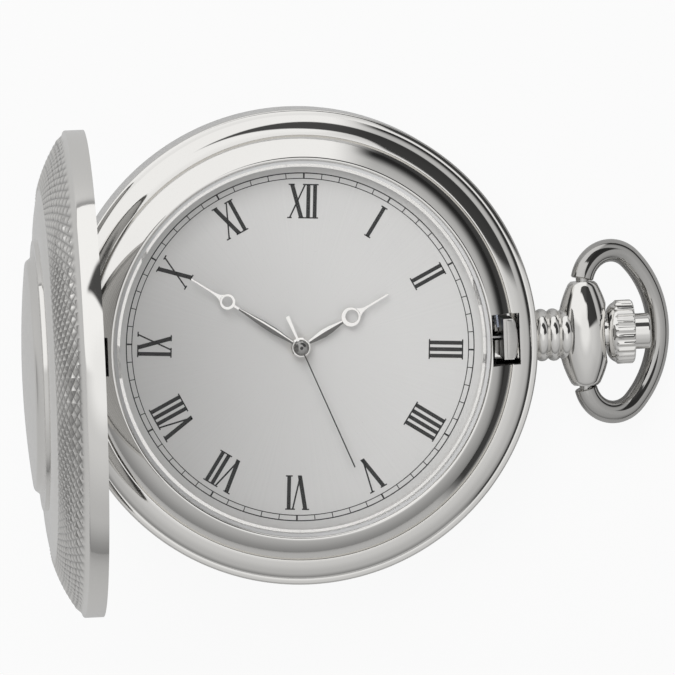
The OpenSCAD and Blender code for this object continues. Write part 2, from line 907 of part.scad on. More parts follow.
module main_plate() {
    color("khaki")
        difference() {
            union() {
                ring(plate_r, 0, plate_z, plate_top);
                ring(plate_r, plate_r - rim_t, bridge_top, plate_z);
                for (p = post_places)
                    at_place(p) ring(post_r, 0, bridge_top, plate_z);
                at_place(battery_at) ring(battery_d / 2, battery_d / 2 - 1.5, battery_z + battery_h, plate_z);
                at_place(motion_pos) ring(motion_post, 0, plate_top, hour_z + pinion_t);
                for (side = [-1, 1])
                    at_place([coil_x + side * arm_reach, coil_y])
                        ring(arm_w / 2, 0, stator_z + stator_t, plate_z);
            }
            ring(minute_tube + run_fit, 0, plate_z - over, plate_top + over);
            for (p = [third_pos, step_pos, rotor_pos])
                at_place(p) ring(pivot_r + run_fit, 0, plate_z - over, plate_z + 0.5);
            for (p = post_places)
                at_place(p) ring(screw_r, 0, bridge_top - over, bridge_top + screw_len);
            for (turn = foot_turns)
                at_place(polar(foot_reach, turn - dial_turn))
                    ring(foot_r + run_fit, 0, plate_top - foot_hole, plate_top + over);
            block([stem_tail - button_press - 0.3, -pocket_w / 2, plate_z - over],
                [plate_r + over, pocket_w / 2, plate_top + over]);
            at_place(battery_at) ring(battery_d / 2 + gap, 0, bridge_top - over, battery_z + battery_h);
        }
}

module train_bridge() {
    pivots = [[0, 0], third_pos, step_pos, rotor_pos];
    color("silver")
        difference() {
            ring(plate_r - rim_t - gap, 0, bridge_z, bridge_top);
            at_place(battery_at) ring(battery_d / 2 + 3 * gap, 0, bridge_z - over, bridge_top + over);
            for (p = pivots)
                at_place(p) ring(pivot_r + run_fit, 0, bridge_z - over, bridge_top + over);
            for (p = post_places)
                at_place(p) ring(screw_r, 0, bridge_z - over, bridge_top + over);
            block([-plate_r, -plate_r, bridge_z - over], [board_x, plate_r, bridge_top + over]);
        }
}

board_x = -4;

module bridge_screws() {
    color("gray")
        for (p = post_places)
            at_place(p)
                difference() {
                    union() {
                        ring(screw_r, 0, bridge_z, bridge_top + screw_len);
                        ring(head_r, 0, bridge_z - head_h, bridge_z);
                    }
                    block([-head_r, -0.1, bridge_z - head_h - over], [head_r, 0.1, bridge_z - head_h / 2]);
                }
}

board_t = 0.3;

module circuit_board() {
    color("darkgreen")
        difference() {
            ring(plate_r - rim_t - 2 * gap, 0, plate_z - board_t, plate_z);
            block([-3.6, -plate_r, plate_z - over], [plate_r, plate_r, plate_z + over]);
            block([-plate_r, -plate_r, plate_z - over], [plate_r, -0.6, plate_z + over]);
            for (p = post_places)
                at_place(p) ring(post_r + gap, 0, plate_z - over, plate_z + over);
        }
}

can_r = 0.7;
can_len = 5;
can_x = -8.8;
can_y = 1.2;

module quartz_can() {
    color("silver")
        translate([can_x, can_y, plate_z - board_t - can_r])
            rotate([-90, 0, 0]) cylinder(r = can_r, h = can_len);
}

stator_z = bridge_top + 1.1;
stator_t = 0.4;
coil_y = -5.4;
coil_x = 6;
coil_len = 5;
coil_r = 0.7;
core_r = 0.35;
rotor_r = 0.75;
arm_w = 1.2;
arm_reach = coil_len / 2 + 0.8;

module stator() {
    color("gray")
        difference() {
            union() {
                at_place(rotor_pos) ring(rotor_r + 0.9, 0, stator_z, stator_z + stator_t);
                for (side = [-1, 1])
                    block([coil_x + side * arm_reach - arm_w / 2, coil_y - arm_w / 2, stator_z],
                        [coil_x + side * arm_reach + arm_w / 2, rotor_pos[1], stator_z + stator_t]);
                block([coil_x - arm_reach, rotor_pos[1] - arm_w, stator_z],
                    [coil_x + arm_reach, rotor_pos[1], stator_z + stator_t]);
            }
            at_place(rotor_pos) ring(rotor_r + 0.25, 0, stator_z - over, stator_z + stator_t + over);
        }
}

module coil() {
    half = arm_reach - arm_w / 2;
    color("sienna")
        translate([coil_x, coil_y, stator_z + stator_t / 2])
            rotate([0, 90, 0]) {
                translate([0, 0, -half]) cylinder(r = core_r, h = 2 * half);
                translate([0, 0, -coil_len / 2]) cylinder(r = coil_r, h = coil_len);
            }
}

module battery() {
    rim = 0.3;
    color("lightgray")
        at_place(battery_at) {
            ring(battery_d / 2, 0, battery_z, battery_z + battery_h - rim);
            ring(battery_d / 2 - 2 * rim, 0, battery_z + battery_h - rim, battery_z + battery_h);
        }
}

module battery_strap() {
    color("goldenrod")
        at_place(battery_at)
            translate([0, 0, battery_z - strap_t])
                linear_extrude(strap_t) {
                    square([battery_d + 2 * strap_lap, strap_w], center = true);
                    circle(d = strap_pad_d);
                }
}

// Each arbor carries its wheel and its pinion; the teeth meet on the lines between the arbors

module arbor(z0, z1, body_r = 0.2) {
    ring(body_r, 0, bridge_top + run_fit, plate_z - run_fit);
    ring(pivot_r, 0, z0, z1);
}

module rotor() {
    mesh_line = rotor_at + 180;
    color("dimgray")
        at_place(rotor_pos) {
            arbor(bridge_z + gap, plate_z + 0.4, 0.15);
            translate([0, 0, step_z]) gear(rotor_pinion, rotor_module, pinion_t, mesh_line);
            ring(rotor_r, 0, stator_z - 0.2, stator_z + stator_t + 0.15);
        }
}

module step_wheel() {
    color("gold")
        at_place(step_pos) {
            arbor(bridge_z + gap, plate_z + 0.4);
            translate([0, 0, step_z]) gear(step_teeth, rotor_module, wheel_t, gap_at(step_teeth, rotor_at + 180));
            translate([0, 0, second_z]) gear(step_pinion, step_module, pinion_t, step_at + 180);
        }
}

module seconds_wheel() {
    color("gold") {
        ring(arbor_r, 0, bridge_top + run_fit, second_hand_z);
        ring(pivot_r, 0, bridge_z + gap, bridge_top + 2 * run_fit);
        translate([0, 0, second_z]) gear(second_teeth, step_module, wheel_t, gap_at(second_teeth, step_at + 180));
        translate([0, 0, third_z]) gear(second_pinion, second_module, pinion_t, third_at);
    }
}

module third_wheel() {
    color("gold")
        at_place(third_pos) {
            arbor(bridge_z + gap, plate_z + 0.4);
            translate([0, 0, third_z]) gear(third_teeth, second_module, wheel_t, gap_at(third_teeth, third_at));
            translate([0, 0, minute_z]) gear(third_pinion, third_module, pinion_t, third_at + 180);
        }
}

module minute_wheel() {
    color("gold")
        difference() {
            union() {
                translate([0, 0, minute_z])
                    gear(minute_teeth, third_module, wheel_t, gap_at(minute_teeth, third_at + 180));
                ring(minute_tube, 0, minute_z, minute_hand_z);
                translate([0, 0, cannon_z]) gear(cannon_teeth, motion_module, pinion_t, motion_at);
            }
            ring(minute_bore, 0, minute_z - over, minute_hand_z + over);
        }
}

module motion_wheel() {
    color("gold")
        at_place(motion_pos)
            difference() {
                union() {
                    translate([0, 0, cannon_z])
                        gear(motion_teeth, motion_module, wheel_t, gap_at(motion_teeth, motion_at));
                    translate([0, 0, hour_z])
                        gear(motion_pinion, motion_module, pinion_t, motion_at + 180);
                    ring(0.45, 0, cannon_z, hour_z + pinion_t);
                }
                ring(motion_post + run_fit, 0, cannon_z - over, hour_z + pinion_t + over);
            }
}

module hour_wheel() {
    color("gold")
        difference() {
            union() {
                translate([0, 0, hour_z])
                    gear(hour_teeth, motion_module, wheel_t, gap_at(hour_teeth, motion_at + 180));
                ring(hour_tube, 0, hour_z, hour_hand_z);
            }
            ring(hour_bore, 0, hour_z - over, hour_hand_z + over);
        }
}

// Dial and hands

module dial() {
    color("whitesmoke") {
        ring(dial_r, dial_bore, dial_z, dial_top);
        for (turn = foot_turns)
            at_place(polar(foot_reach, turn - dial_turn)) ring(foot_r, 0, plate_top - foot_len, dial_z);
    }
}

// A hand with a pierced eye: blade, eye, flared cusp and needle, along +X
module ring_hand(reach, eye_at, eye_d, eye_hole, blade_w, boss_d, bore) {
    cusp = eye_d * 0.75;
    flare_w = eye_d * 0.44;
    belly_at = eye_at * 0.45;
    eye_end = eye_at + eye_d / 2;
    blade = [[0, blade_w / 4], [belly_at, blade_w / 2], [eye_at, blade_w / 5]];
    tip = [[eye_end - gap, flare_w / 2], [eye_end + cusp / 3, needle_w / 2],
        [eye_end + cusp, needle_w / 4], [reach, needle_tip_w / 2]];
    difference() {
        union() {
            circle(d = boss_d);
            polygon(both_sides(blade));
            translate([eye_at, 0]) circle(d = eye_d);
            polygon(both_sides(tip));
        }
        translate([eye_at - gap / 2, 0]) circle(d = eye_hole);
        circle(r = bore);
    }
}

module hour_hand() {
    color("silver")
        translate([0, 0, hour_hand_z])
            rotate([0, 0, dial_angle(hour_at)])
                linear_extrude(hand_t)
                    ring_hand(hour_len, hour_eye_at, hour_eye_d, hour_eye_hole, hour_blade, hub_d, hour_bore);
}

module minute_hand() {
    color("silver")
        translate([0, 0, minute_hand_z])
            rotate([0, 0, dial_angle(minute_at)])
                linear_extrude(hand_t)
                    ring_hand(minute_len, minute_eye_at, minute_eye_d, minute_eye_hole, minute_blade,
                        0.9 * hub_d, minute_bore);
}

module seconds_hand() {
    color("silver")
        translate([0, 0, second_hand_z])
            rotate([0, 0, dial_angle(second_at)]) {
                linear_extrude(second_t)
                    polygon(both_sides([[-second_tail, second_tail_w / 2], [0, second_w / 2],
                        [second_len, second_tip_w / 2]]));
                rotate_extrude()
                    polygon(concat([[0, 0], [dome_d / 2, 0]],
                        arc_points([dome_d / 2, second_t], [0, second_t + dome_rise], dome_rise / 3)));
            }
}

back_cover();
back_gasket();
case_middle();
pendant();
bezel();
crystal_gasket();
crystal();
lid_spring();
latch_spring();
latch();
lid_shell();
lid_disc();
lid_catch();
hinge_pin();
bow();
crown();
crown_gasket();
button_spring();
release_button();
winding_stem();
clutch_wheel();
setting_lever();
movement_ring();
main_plate();
train_bridge();
bridge_screws();
circuit_board();
quartz_can();
coil();
stator();
battery();
battery_strap();
rotor();
step_wheel();
seconds_wheel();
third_wheel();
minute_wheel();
motion_wheel();
hour_wheel();
dial();
hour_hand();
minute_hand();
seconds_hand();
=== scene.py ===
import math

import bmesh
import bpy
from mathutils import Matrix, Vector


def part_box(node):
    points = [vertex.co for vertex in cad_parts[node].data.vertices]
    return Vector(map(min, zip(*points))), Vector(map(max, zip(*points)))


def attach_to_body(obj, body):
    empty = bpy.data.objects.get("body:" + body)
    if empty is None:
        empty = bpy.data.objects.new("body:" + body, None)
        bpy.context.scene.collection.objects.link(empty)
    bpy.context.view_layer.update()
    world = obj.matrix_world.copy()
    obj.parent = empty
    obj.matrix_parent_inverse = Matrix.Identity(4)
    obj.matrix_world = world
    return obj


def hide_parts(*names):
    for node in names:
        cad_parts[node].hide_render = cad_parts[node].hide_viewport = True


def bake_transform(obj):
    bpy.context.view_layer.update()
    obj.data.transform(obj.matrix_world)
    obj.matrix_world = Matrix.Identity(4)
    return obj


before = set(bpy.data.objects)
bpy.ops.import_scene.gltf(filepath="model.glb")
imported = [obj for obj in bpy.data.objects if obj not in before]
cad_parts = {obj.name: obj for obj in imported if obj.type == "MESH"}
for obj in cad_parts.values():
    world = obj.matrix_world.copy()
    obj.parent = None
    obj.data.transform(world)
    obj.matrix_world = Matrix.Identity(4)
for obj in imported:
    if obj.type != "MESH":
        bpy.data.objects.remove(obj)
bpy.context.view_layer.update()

# Back cover: a shallow dish turned from steel, then mirror polished and plated.
# Its lip snaps into the case middle, and the watch lies on its flat.

MM = 0.001
STEPS = 256
CORNER = math.radians(30)


def span(node):
    """A CAD node's lowest and highest corners, in millimetres."""
    low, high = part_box(node)
    return low / MM, high / MM


def bulge(start, end, sag):
    """The circle of an arc from start to end that bulges by sag to its right, and its two directions."""
    chord = (end - start).length
    way = (end - start) / chord
    out = Vector((way.y, -way.x))
    radius = (chord**2 / 4 + sag**2) / (2 * sag)
    return (start + end) / 2 - out * (radius - sag), radius, way, out


def arc(start, end, sag, count=12):
    """Points along such an arc."""
    start, end = Vector(start), Vector(end)
    middle, radius, way, out = bulge(start, end, sag)
    half = math.asin((end - start).length / 2 / radius)
    turns = [half * (2 * i / count - 1) for i in range(count + 1)]
    return [middle + radius * (math.sin(t) * way + math.cos(t) * out) for t in turns]


def faces_round(points):
    """The faces that meet at some points."""
    return list(dict.fromkeys(face for v in points for face in v.link_faces))


def lathe(bm, profile, steps=STEPS, place=Matrix()):
    """Spins a profile of (radius, height) points about Z, then puts the turned form in its place."""
    before = set(bm.verts)
    points = [bm.verts.new((radius, 0, height)) for radius, height in profile]
    edges = [bm.edges.new(pair) for pair in zip(points, points[1:]) if any(v.co.x for v in pair)]
    if min(radius for radius, _ in profile) > 0:
        edges.append(bm.edges.new((points[-1], points[0])))
    bmesh.ops.spin(bm, geom=points + edges, cent=(0, 0, 0), axis=(0, 0, 1),
                   angle=2 * math.pi, steps=steps, use_merge=True)
    turned = [v for v in bm.verts if v not in before]
    bmesh.ops.remove_doubles(bm, verts=turned, dist=1e-5)
    turned = [v for v in bm.verts if v not in before]
    bmesh.ops.recalc_face_normals(bm, faces=faces_round(turned))
    bmesh.ops.transform(bm, matrix=place, verts=turned)
    bm.normal_update()
    return turned


def soften(bm, size, limit=CORNER):
    """Rounds every corner sharper than the limit."""
    sharp = [e for e in bm.edges if e.is_manifold and e.calc_face_angle(0) > limit]
    bmesh.ops.bevel(bm, geom=sharp, offset=size, offset_type="OFFSET", segments=2,
                    profile=0.5, affect="EDGES", clamp_overlap=True, material=-1)


def settle(bm, name, body, replaced, slot, *finishes):
    """Makes a shown piece, in metres, of a bmesh in millimetres. A piece that gives is left in place, on
    no body.
    """
    bmesh.ops.scale(bm, vec=(MM, MM, MM), verts=bm.verts[:])
    bm.normal_update()
    for face in bm.faces:
        face.smooth = True
    for edge in bm.edges:
        edge.smooth = edge.calc_face_angle(0) < CORNER
    mesh = bpy.data.meshes.new(name)
    bm.to_mesh(mesh)
    bm.free()
    for made in finishes:
        mesh.materials.append(made)
    piece = bpy.data.objects.new(name, mesh)
    bpy.context.scene.collection.objects.link(piece)
    if isinstance(body, str):
        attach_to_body(piece, body)
    else:
        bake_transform(piece)
    if replaced:
        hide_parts(*replaced)


class Shade:
    """A shader socket that can stand in sums: each sum adds its own Math node."""

    def __init__(self, tree, socket=None):
        self.tree = tree
        self.socket = socket

    def node(self, kind, settings=None, inputs=None, output=0):
        """Adds a node with its settings, then the values or links of its sockets."""
        made = self.tree.nodes.new("ShaderNode" + kind)
        for key, value in (settings or {}).items():
            setattr(made, key, value)
        for key, value in (inputs or {}).items():
            if isinstance(value, Shade):
                self.tree.links.new(value.socket, made.inputs[key])
            else:
                made.inputs[key].default_value = value
        return Shade(self.tree, made.outputs[output] if made.outputs else None)

    def maths(self, operation, first, second=0.0):
        return self.node("Math", {"operation": operation}, {0: first, 1: second})

    def __add__(self, other):
        return self.maths("ADD", self, other)

    def __radd__(self, other):
        return self.maths("ADD", other, self)

    def __sub__(self, other):
        return self.maths("SUBTRACT", self, other)

    def __rsub__(self, other):
        return self.maths("SUBTRACT", other, self)

    def __mul__(self, other):
        return self.maths("MULTIPLY", self, other)

    def __rmul__(self, other):
        return self.maths("MULTIPLY", other, self)

    def place(self):
        return self.node("TexCoord", output="Object")

    def axes(self, vector=None):
        """The three numbers of a vector, or of the place on the piece."""
        split = self.node("SeparateXYZ", inputs={0: vector or self.place()})
        return [Shade(self.tree, socket) for socket in split.socket.node.outputs]

    def length(self, first, second):
        """How far two numbers reach together."""
        return self.maths("SQRT", first * first + second * second)

    def noise(self, scale, detail=3.0, vector=None):
        """Cloudy noise with so many clouds to the metre."""
        vector = vector or self.place()
        return self.node("TexNoise", inputs={"Vector": vector, "Scale": scale, "Detail": detail})

    def lines(self, along, scale):
        """Noise that changes along one number only, as brushed lines do."""
        return self.node("TexNoise", {"noise_dimensions": "1D"},
                         {"W": along, "Scale": scale, "Detail": 4.0})

    def stretched(self, x, y, z):
        """The piece's coordinates, scaled along each axis."""
        return self.node("Mapping", inputs={"Vector": self.place(), "Scale": (x, y, z)})

    def blend(self, factor, first, second):
        """A colour between two colours."""
        return self.node("Mix", {"data_type": "RGBA"}, {0: factor, 6: first, 7: second}, output=2)

    def bump(self, height, depth):
        """A normal roughened by a height, over a depth in metres."""
        return self.node("Bump", inputs={"Height": height, "Strength": 1.0, "Distance": depth})

    def surface(self, **sockets):
        """The finished surface, from the sockets that are given."""
        named = {key.replace("_", " "): value for key, value in sockets.items()}
        shader = self.node("BsdfPrincipled", inputs=named)
        self.node("OutputMaterial", inputs={"Surface": shader})


def finish(name):
    """An empty material and the Shade that fills it."""
    made = bpy.data.materials.new(name)
    made.use_nodes = True
    made.node_tree.nodes.clear()
    return made, Shade(made.node_tree)


def grey(tone, warm=0.0):
    """A grey colour, with less blue in it the warmer it is."""
    return (tone, tone * (1 - warm / 3), tone * (1 - warm), 1)


WARM = 0.04


def polished(name, tone, rough):
    """Plated steel off the buff: hazy where fingers touch it, with the finest of hairlines."""
    made, shade = finish(name)
    touch = shade.noise(140.0)
    hairs = shade.noise(1.0, 2.0, shade.stretched(9000, 700, 9000))
    shade.surface(
        Base_Color=shade.blend(touch, grey(tone * 0.96, WARM), grey(tone, WARM)),
        Metallic=1.0,
        Roughness=rough + 0.03 * touch * touch + 0.015 * hairs,
        Normal=shade.bump(hairs, 0.0000002),
    )
    return made


case_finish = polished("polished_case", 0.82, 0.035)
case_r = span("back_cover")[1].x
joint_z = span("case_middle")[0].z
lip_top = span("back_cover")[1].z
bore_r = 20.1
back_flat_r, back_t, back_sag = 18.5, 0.8, 0.35
back_wall_h, back_edge = 0.5, 0.15
snap_gap, lip_t = 0.05, 0.45
lip_r = bore_r - snap_gap
lip_in = lip_r - lip_t

bm = bmesh.new()
lathe(bm, [(0, 0), (back_flat_r, 0)]
      + arc((back_flat_r + 0.01, 0.002), (case_r - back_edge, joint_z - back_wall_h), back_sag)
      + [(case_r, joint_z - back_edge), (case_r, joint_z), (lip_r, joint_z), (lip_r, lip_top),
         (lip_in, lip_top), (lip_in, back_t), (0, back_t)])
soften(bm, 0.06)
settle(bm, "back_cover_dish", "case", ["back_cover"], "polished_case", case_finish)

# Case middle: the ring that carries everything else, turned from one bar and polished.
# Its shoulder rises inside the lid's seat, and it is slotted for the latch and the lid spring.

seat_z, seat_fall = 8.0, 0.04
seat_wall, seat_round, seat_edge = 0.35, 0.3, 0.2
shoulder_out, shoulder_in, shoulder_h, shoulder_sag = 23.4, 21.55, 0.95, 0.18
land_z = seat_z + 0.25
groove_r, groove_low, groove_high = 22.5, 3.1, 6.9
hinge = Vector((-23.2, 0, 8.95))
hinge_half = 5.1
hinge_flat_x = hinge.x + 1.35
lid_knuckle_half = 2.05
knuckle_r, knuckle_room_r, knuckle_gap = 0.9, 1.05, 0.1
web_back, web_root = 0.55, 0.6
past_rim = 25
slot_top = 12
LATCH_SLOT = (19.15, -2.6, 3.8), (22.1, 2.6, slot_top)
LIFT_SLOT = (-22.3, -1.95, 5.9), (-19.55, 1.95, slot_top)


def carve(bm, *cutters):
    """Cuts other bmeshes out of a bmesh."""
    made = []
    for n, shape in enumerate([bm, *cutters]):
        mesh = bpy.data.meshes.new("carve%d" % n)
        shape.to_mesh(mesh)
        shape.free()
        made.append(bpy.data.objects.new(mesh.name, mesh))
        bpy.context.scene.collection.objects.link(made[-1])
    for cutter in made[1:]:
        boolean = made[0].modifiers.new(cutter.name, "BOOLEAN")
        boolean.operation, boolean.solver, boolean.object = "DIFFERENCE", "EXACT", cutter
    bpy.context.view_layer.update()
    seen = made[0].evaluated_get(bpy.context.evaluated_depsgraph_get())
    carved = bmesh.new()
    carved.from_mesh(seen.to_mesh())
    for thing in made:
        mesh = thing.data
        bpy.data.objects.remove(thing)
        bpy.data.meshes.remove(mesh)
    return carved


def attach(bm, other):
    """Puts another bmesh into a bmesh, as it is."""
    mesh = bpy.data.meshes.new("attached")
    other.to_mesh(mesh)
    other.free()
    bm.from_mesh(mesh)
    bpy.data.meshes.remove(mesh)


def block(low, high):
    """A box between two corners."""
    low, high = Vector(low), Vector(high)
    bm = bmesh.new()
    bmesh.ops.create_cube(bm, size=1)
    bmesh.ops.scale(bm, vec=high - low, verts=bm.verts[:])
    bmesh.ops.translate(bm, vec=(low + high) / 2, verts=bm.verts[:])
    return bm


def rod(bm, radius, depth, segments, place):
    """A round rod about the Z of its place."""
    bmesh.ops.create_cone(bm, cap_ends=True, segments=segments, radius1=radius, radius2=radius,
                          depth=depth, matrix=place)


def bar_y(bm, radius, low, high, centre):
    """A round bar along Y, as a hinge's knuckle."""
    place = Matrix.Translation(Vector(centre) + Vector((0, (low + high) / 2, 0)))
    rod(bm, radius, high - low, 48, place @ Matrix.Rotation(math.pi / 2, 4, "X"))


def shade_slot_walls(bm):
    """Gives the walls of both slots the second finish, a near-black painted shade for their depth."""
    near = 0.01
    for face in bm.faces:
        at = face.calc_center_median()
        for low, high in (LATCH_SLOT, LIFT_SLOT):
            if all(a - near < b < c + near for a, b, c in zip(low, at, high)):
                face.material_index = 1


# Slot walls: a near-black painted shade, since the slots are deep and in shadow; the noise only varies
# it.
slot_shade_finish, shade = finish("slot_painted_shade")
scale = shade.noise(1500.0)
shade.surface(Base_Color=shade.blend(scale, grey(0.05, 0.1), grey(0.12, 0.1)), Metallic=0.6,
              Roughness=0.45 + 0.25 * scale, Normal=shade.bump(scale, 0.000005))
bm = bmesh.new()
lathe(bm, [(case_r, joint_z), (case_r, seat_z - seat_wall)]
      + arc((case_r, seat_z - seat_round), (case_r - seat_edge, seat_z - seat_fall), 0.05, 4)
      + [(shoulder_out + 0.02, seat_z)]
      + arc((shoulder_out, seat_z), (shoulder_in, seat_z + shoulder_h), shoulder_sag, 24)
      + [(shoulder_in, land_z), (bore_r, land_z), (bore_r, groove_high), (groove_r, groove_high),
         (groove_r, groove_low), (bore_r, groove_low), (bore_r, joint_z)])
knuckle_from = lid_knuckle_half + knuckle_gap
knuckle_room = bmesh.new()
bar_y(knuckle_room, knuckle_room_r, -knuckle_from, knuckle_from, hinge)
seat_step = block((-past_rim, -past_rim, seat_z - 0.1), (hinge_flat_x, past_rim, slot_top))
bm = carve(bm, block(*LATCH_SLOT), block(*LIFT_SLOT), seat_step, knuckle_room)
shade_slot_walls(bm)
for side in (-1, 1):
    low, high = sorted((side * knuckle_from, side * hinge_half))
    bar_y(bm, knuckle_r, low, high, hinge)
    attach(bm, block((hinge.x - web_back, low, seat_z - web_root),
                     (hinge.x + knuckle_r, high, hinge.z)))
settle(bm, "case_ring", "case", ["case_middle"], "polished_case", case_finish, slot_shade_finish)

# Bezel: a sloped ring that snaps onto the case middle's land and holds the crystal.
# The crystal is a flat mineral glass with a bevelled edge, pressed into a nylon gasket.
# The gaskets at the back and the crown, and the ring round the movement, are black rubber.

bezel_r, bezel_top, bezel_wall, bezel_slope, bezel_sag = 21.45, 10.7, 0.45, 0.5, 0.1
rim_w, rim_drop, rim_sag = 0.3, 0.15, 0.06
crystal_bore, crystal_low, crystal_bevel = 18.95, 9.6, 0.25
dial_open, dial_top = 18.3, 7.5

bm = bmesh.new()
lathe(bm, [(bezel_r, land_z), (bezel_r, land_z + bezel_wall)]
      + arc((bezel_r, land_z + bezel_slope), (crystal_bore + rim_w, bezel_top), bezel_sag, 20)
      + arc((crystal_bore + rim_w - 0.02, bezel_top + 0.002), (crystal_bore, bezel_top - rim_drop),
            rim_sag, 4)
      + [(crystal_bore, crystal_low), (dial_open, crystal_low), (dial_open, dial_top),
         (lip_r, dial_top), (lip_r, land_z)])
bm = carve(bm, block(*LATCH_SLOT), block(*LIFT_SLOT))
shade_slot_walls(bm)
settle(bm, "bezel_ring", "case", ["bezel"], "polished_case", case_finish, slot_shade_finish)

crystal_finish, shade = finish("crystal_glass")
smear = shade.noise(60.0)
shade.surface(Base_Color=grey(1.0), Metallic=1.0, Roughness=0.01 + 0.03 * smear,
              Alpha=0.012 + 0.008 * smear)
crystal_r = span("crystal")[1].x
crystal_top = span("crystal")[1].z
bm = bmesh.new()
lathe(bm, [(0, crystal_low), (crystal_r, crystal_low), (crystal_r, crystal_top - crystal_bevel),
           (crystal_r - crystal_bevel, crystal_top), (0, crystal_top)])
settle(bm, "crystal_disc", "case", ["crystal"], "glass", crystal_finish)


def redress(new_finish, *names):
    """Gives CAD nodes that keep their own shape a finish."""
    for name in names:
        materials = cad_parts[name].data.materials
        materials.clear()
        materials.append(new_finish)


nylon, shade = finish("gasket_nylon")
cloud = shade.noise(400.0)
shade.surface(Base_Color=shade.blend(cloud, grey(0.48), grey(0.57)), Roughness=0.4 + 0.2 * cloud,
              Normal=shade.bump(cloud, 0.00001))
rubber, shade = finish("gasket_rubber")
dust = shade.noise(900.0)
shade.surface(Base_Color=shade.blend(dust, grey(0.02), grey(0.06)), Roughness=0.6 + 0.3 * dust,
              Normal=shade.bump(dust, 0.00002))
redress(nylon, "crystal_gasket")
redress(rubber, "back_gasket", "crown_gasket", "movement_ring")

# Pendant: the neck brazed to the case, turned with three ribs, and the barrel across its end.
# The crown's hub runs in its bore, and the bow's studs sit in the barrel's two ends.

axis_z = 5.0
pivot = Vector((28.95, 0, axis_z))
rib_count, rib_pitch, rib_rise = 3, 1.2, 0.3
neck_r, neck_root = 2.65, case_r - 0.5
barrel_r, barrel_end_r, barrel_half = 2.7, 1.35, 5.25
barrel_flat_r = barrel_end_r - 0.12
dish_rim, dish_at, dish_r = 3.2, 2.3, 9.9

ALONG_X = Matrix.Translation((0, 0, axis_z)) @ Matrix.Rotation(math.pi / 2, 4, "Y")
valley = neck_r - rib_rise
neck = [(0, neck_root), (valley, neck_root)]
for n in range(rib_count):
    foot = case_r + n * rib_pitch
    neck += arc((valley, foot), (valley, foot + rib_pitch), rib_rise, 12)

bm = bmesh.new()
barrel = arc((barrel_end_r, -barrel_half), (barrel_end_r, barrel_half), barrel_r - barrel_end_r, 40)
lathe(bm, [(0, -barrel_half), (barrel_flat_r, -barrel_half)] + barrel[1:-1]
      + [(barrel_flat_r, barrel_half), (0, barrel_half)], steps=160,
      place=Matrix.Translation(pivot) @ Matrix.Rotation(math.pi / 2, 4, "X"))
dish = bmesh.new()
middle = pivot + Vector((dish_at + math.sqrt(dish_r**2 - dish_rim**2), 0, 0))
bmesh.ops.create_uvsphere(dish, u_segments=160, v_segments=120, radius=dish_r,
                          matrix=Matrix.Translation(middle))
bm = carve(bm, dish)
lathe(bm, neck + [(valley, pivot.x), (0, pivot.x)], steps=128, place=ALONG_X)
settle(bm, "pendant_neck", "case", ["pendant"], "polished_case", case_finish)

# Lid shell: pressed from sheet and turned, with a polished band round its rim.
# Its dome is cut all over with crossing lines that leave small pyramids, with painted shade in the
# valleys between them.
# Inside, it is brushed in rings.

lid_t = 0.5
band_h, dome_h, dome_sag = 1.9, 5.15, 0.9
band_edge, band_round, band_rise = 0.1, 0.06, 0.02
dome_foot = band_h + band_edge
lid_corner = 0.3
dome_in = 13.6
chequer_out, chequer_in, chequer_edge = 23.45, 18.2, 0.1
chequer_rows, chequer_columns = 6, 114
stud_h = 0.17
hinge_room, hinge_room_h = 5.6, 2.05
lid_web_back, lid_web_front, lid_web_h = 0.2, 0.9, 2.2

OPEN_LID = (Matrix.Translation(hinge) @ Matrix.Rotation(-math.pi / 2, 4, "Y")
            @ Matrix.Translation(-hinge) @ Matrix.Translation((0, 0, seat_z)))


def dome_at(radius, sheet=0.0):
    """Height of the dome above the lid's rim, or of its inside one sheet lower."""
    start = Vector((case_r - lid_corner - sheet, dome_foot - sheet / 2))
    middle, ball, _, _ = bulge(start, Vector((dome_in, dome_h - sheet)), dome_sag)
    return middle.y + math.sqrt(ball**2 - (radius - middle.x) ** 2)


shrink = (chequer_in / chequer_out) ** (1 / chequer_rows)
rows = [chequer_out * shrink**n for n in range(chequer_rows + 1)]
plain_rows = [chequer_in + (dome_in - chequer_in) * n / 8 for n in range(1, 8)]
inner_rows = [dome_in + (case_r - lid_t - lid_corner - dome_in) * n / 10 for n in range(11)]
bm = bmesh.new()
cut = bm.verts.layers.float.new("cut")
lathe(bm, [(case_r, 0), (case_r, band_h - band_edge), (case_r - band_round, band_h + band_rise),
           (case_r - lid_corner, dome_foot)]
      + [(s, dome_at(s)) for s in rows + plain_rows]
      + [(dome_in, dome_h), (0, dome_h), (0, dome_h - lid_t)]
      + [(s, dome_at(s, lid_t)) for s in inner_rows]
      + [(case_r - lid_t, band_h - lid_t), (case_r - lid_t, 0), (case_r, 0)],
      steps=chequer_columns)
outside = {f for f in bm.faces if f.normal.z > 0.2
           and chequer_in < f.calc_center_median().xy.length < chequer_out}
grid_edges = [e for e in bm.edges if len(e.link_faces) == 2 and outside.issuperset(e.link_faces)]
middles = bmesh.ops.poke(bm, faces=list(outside))["verts"]
bmesh.ops.dissolve_edges(bm, edges=grid_edges)
diamonds = [f for f in faces_round(middles) if len(f.verts) == 4]
peaks = bmesh.ops.poke(bm, faces=diamonds, offset=stud_h)["verts"]
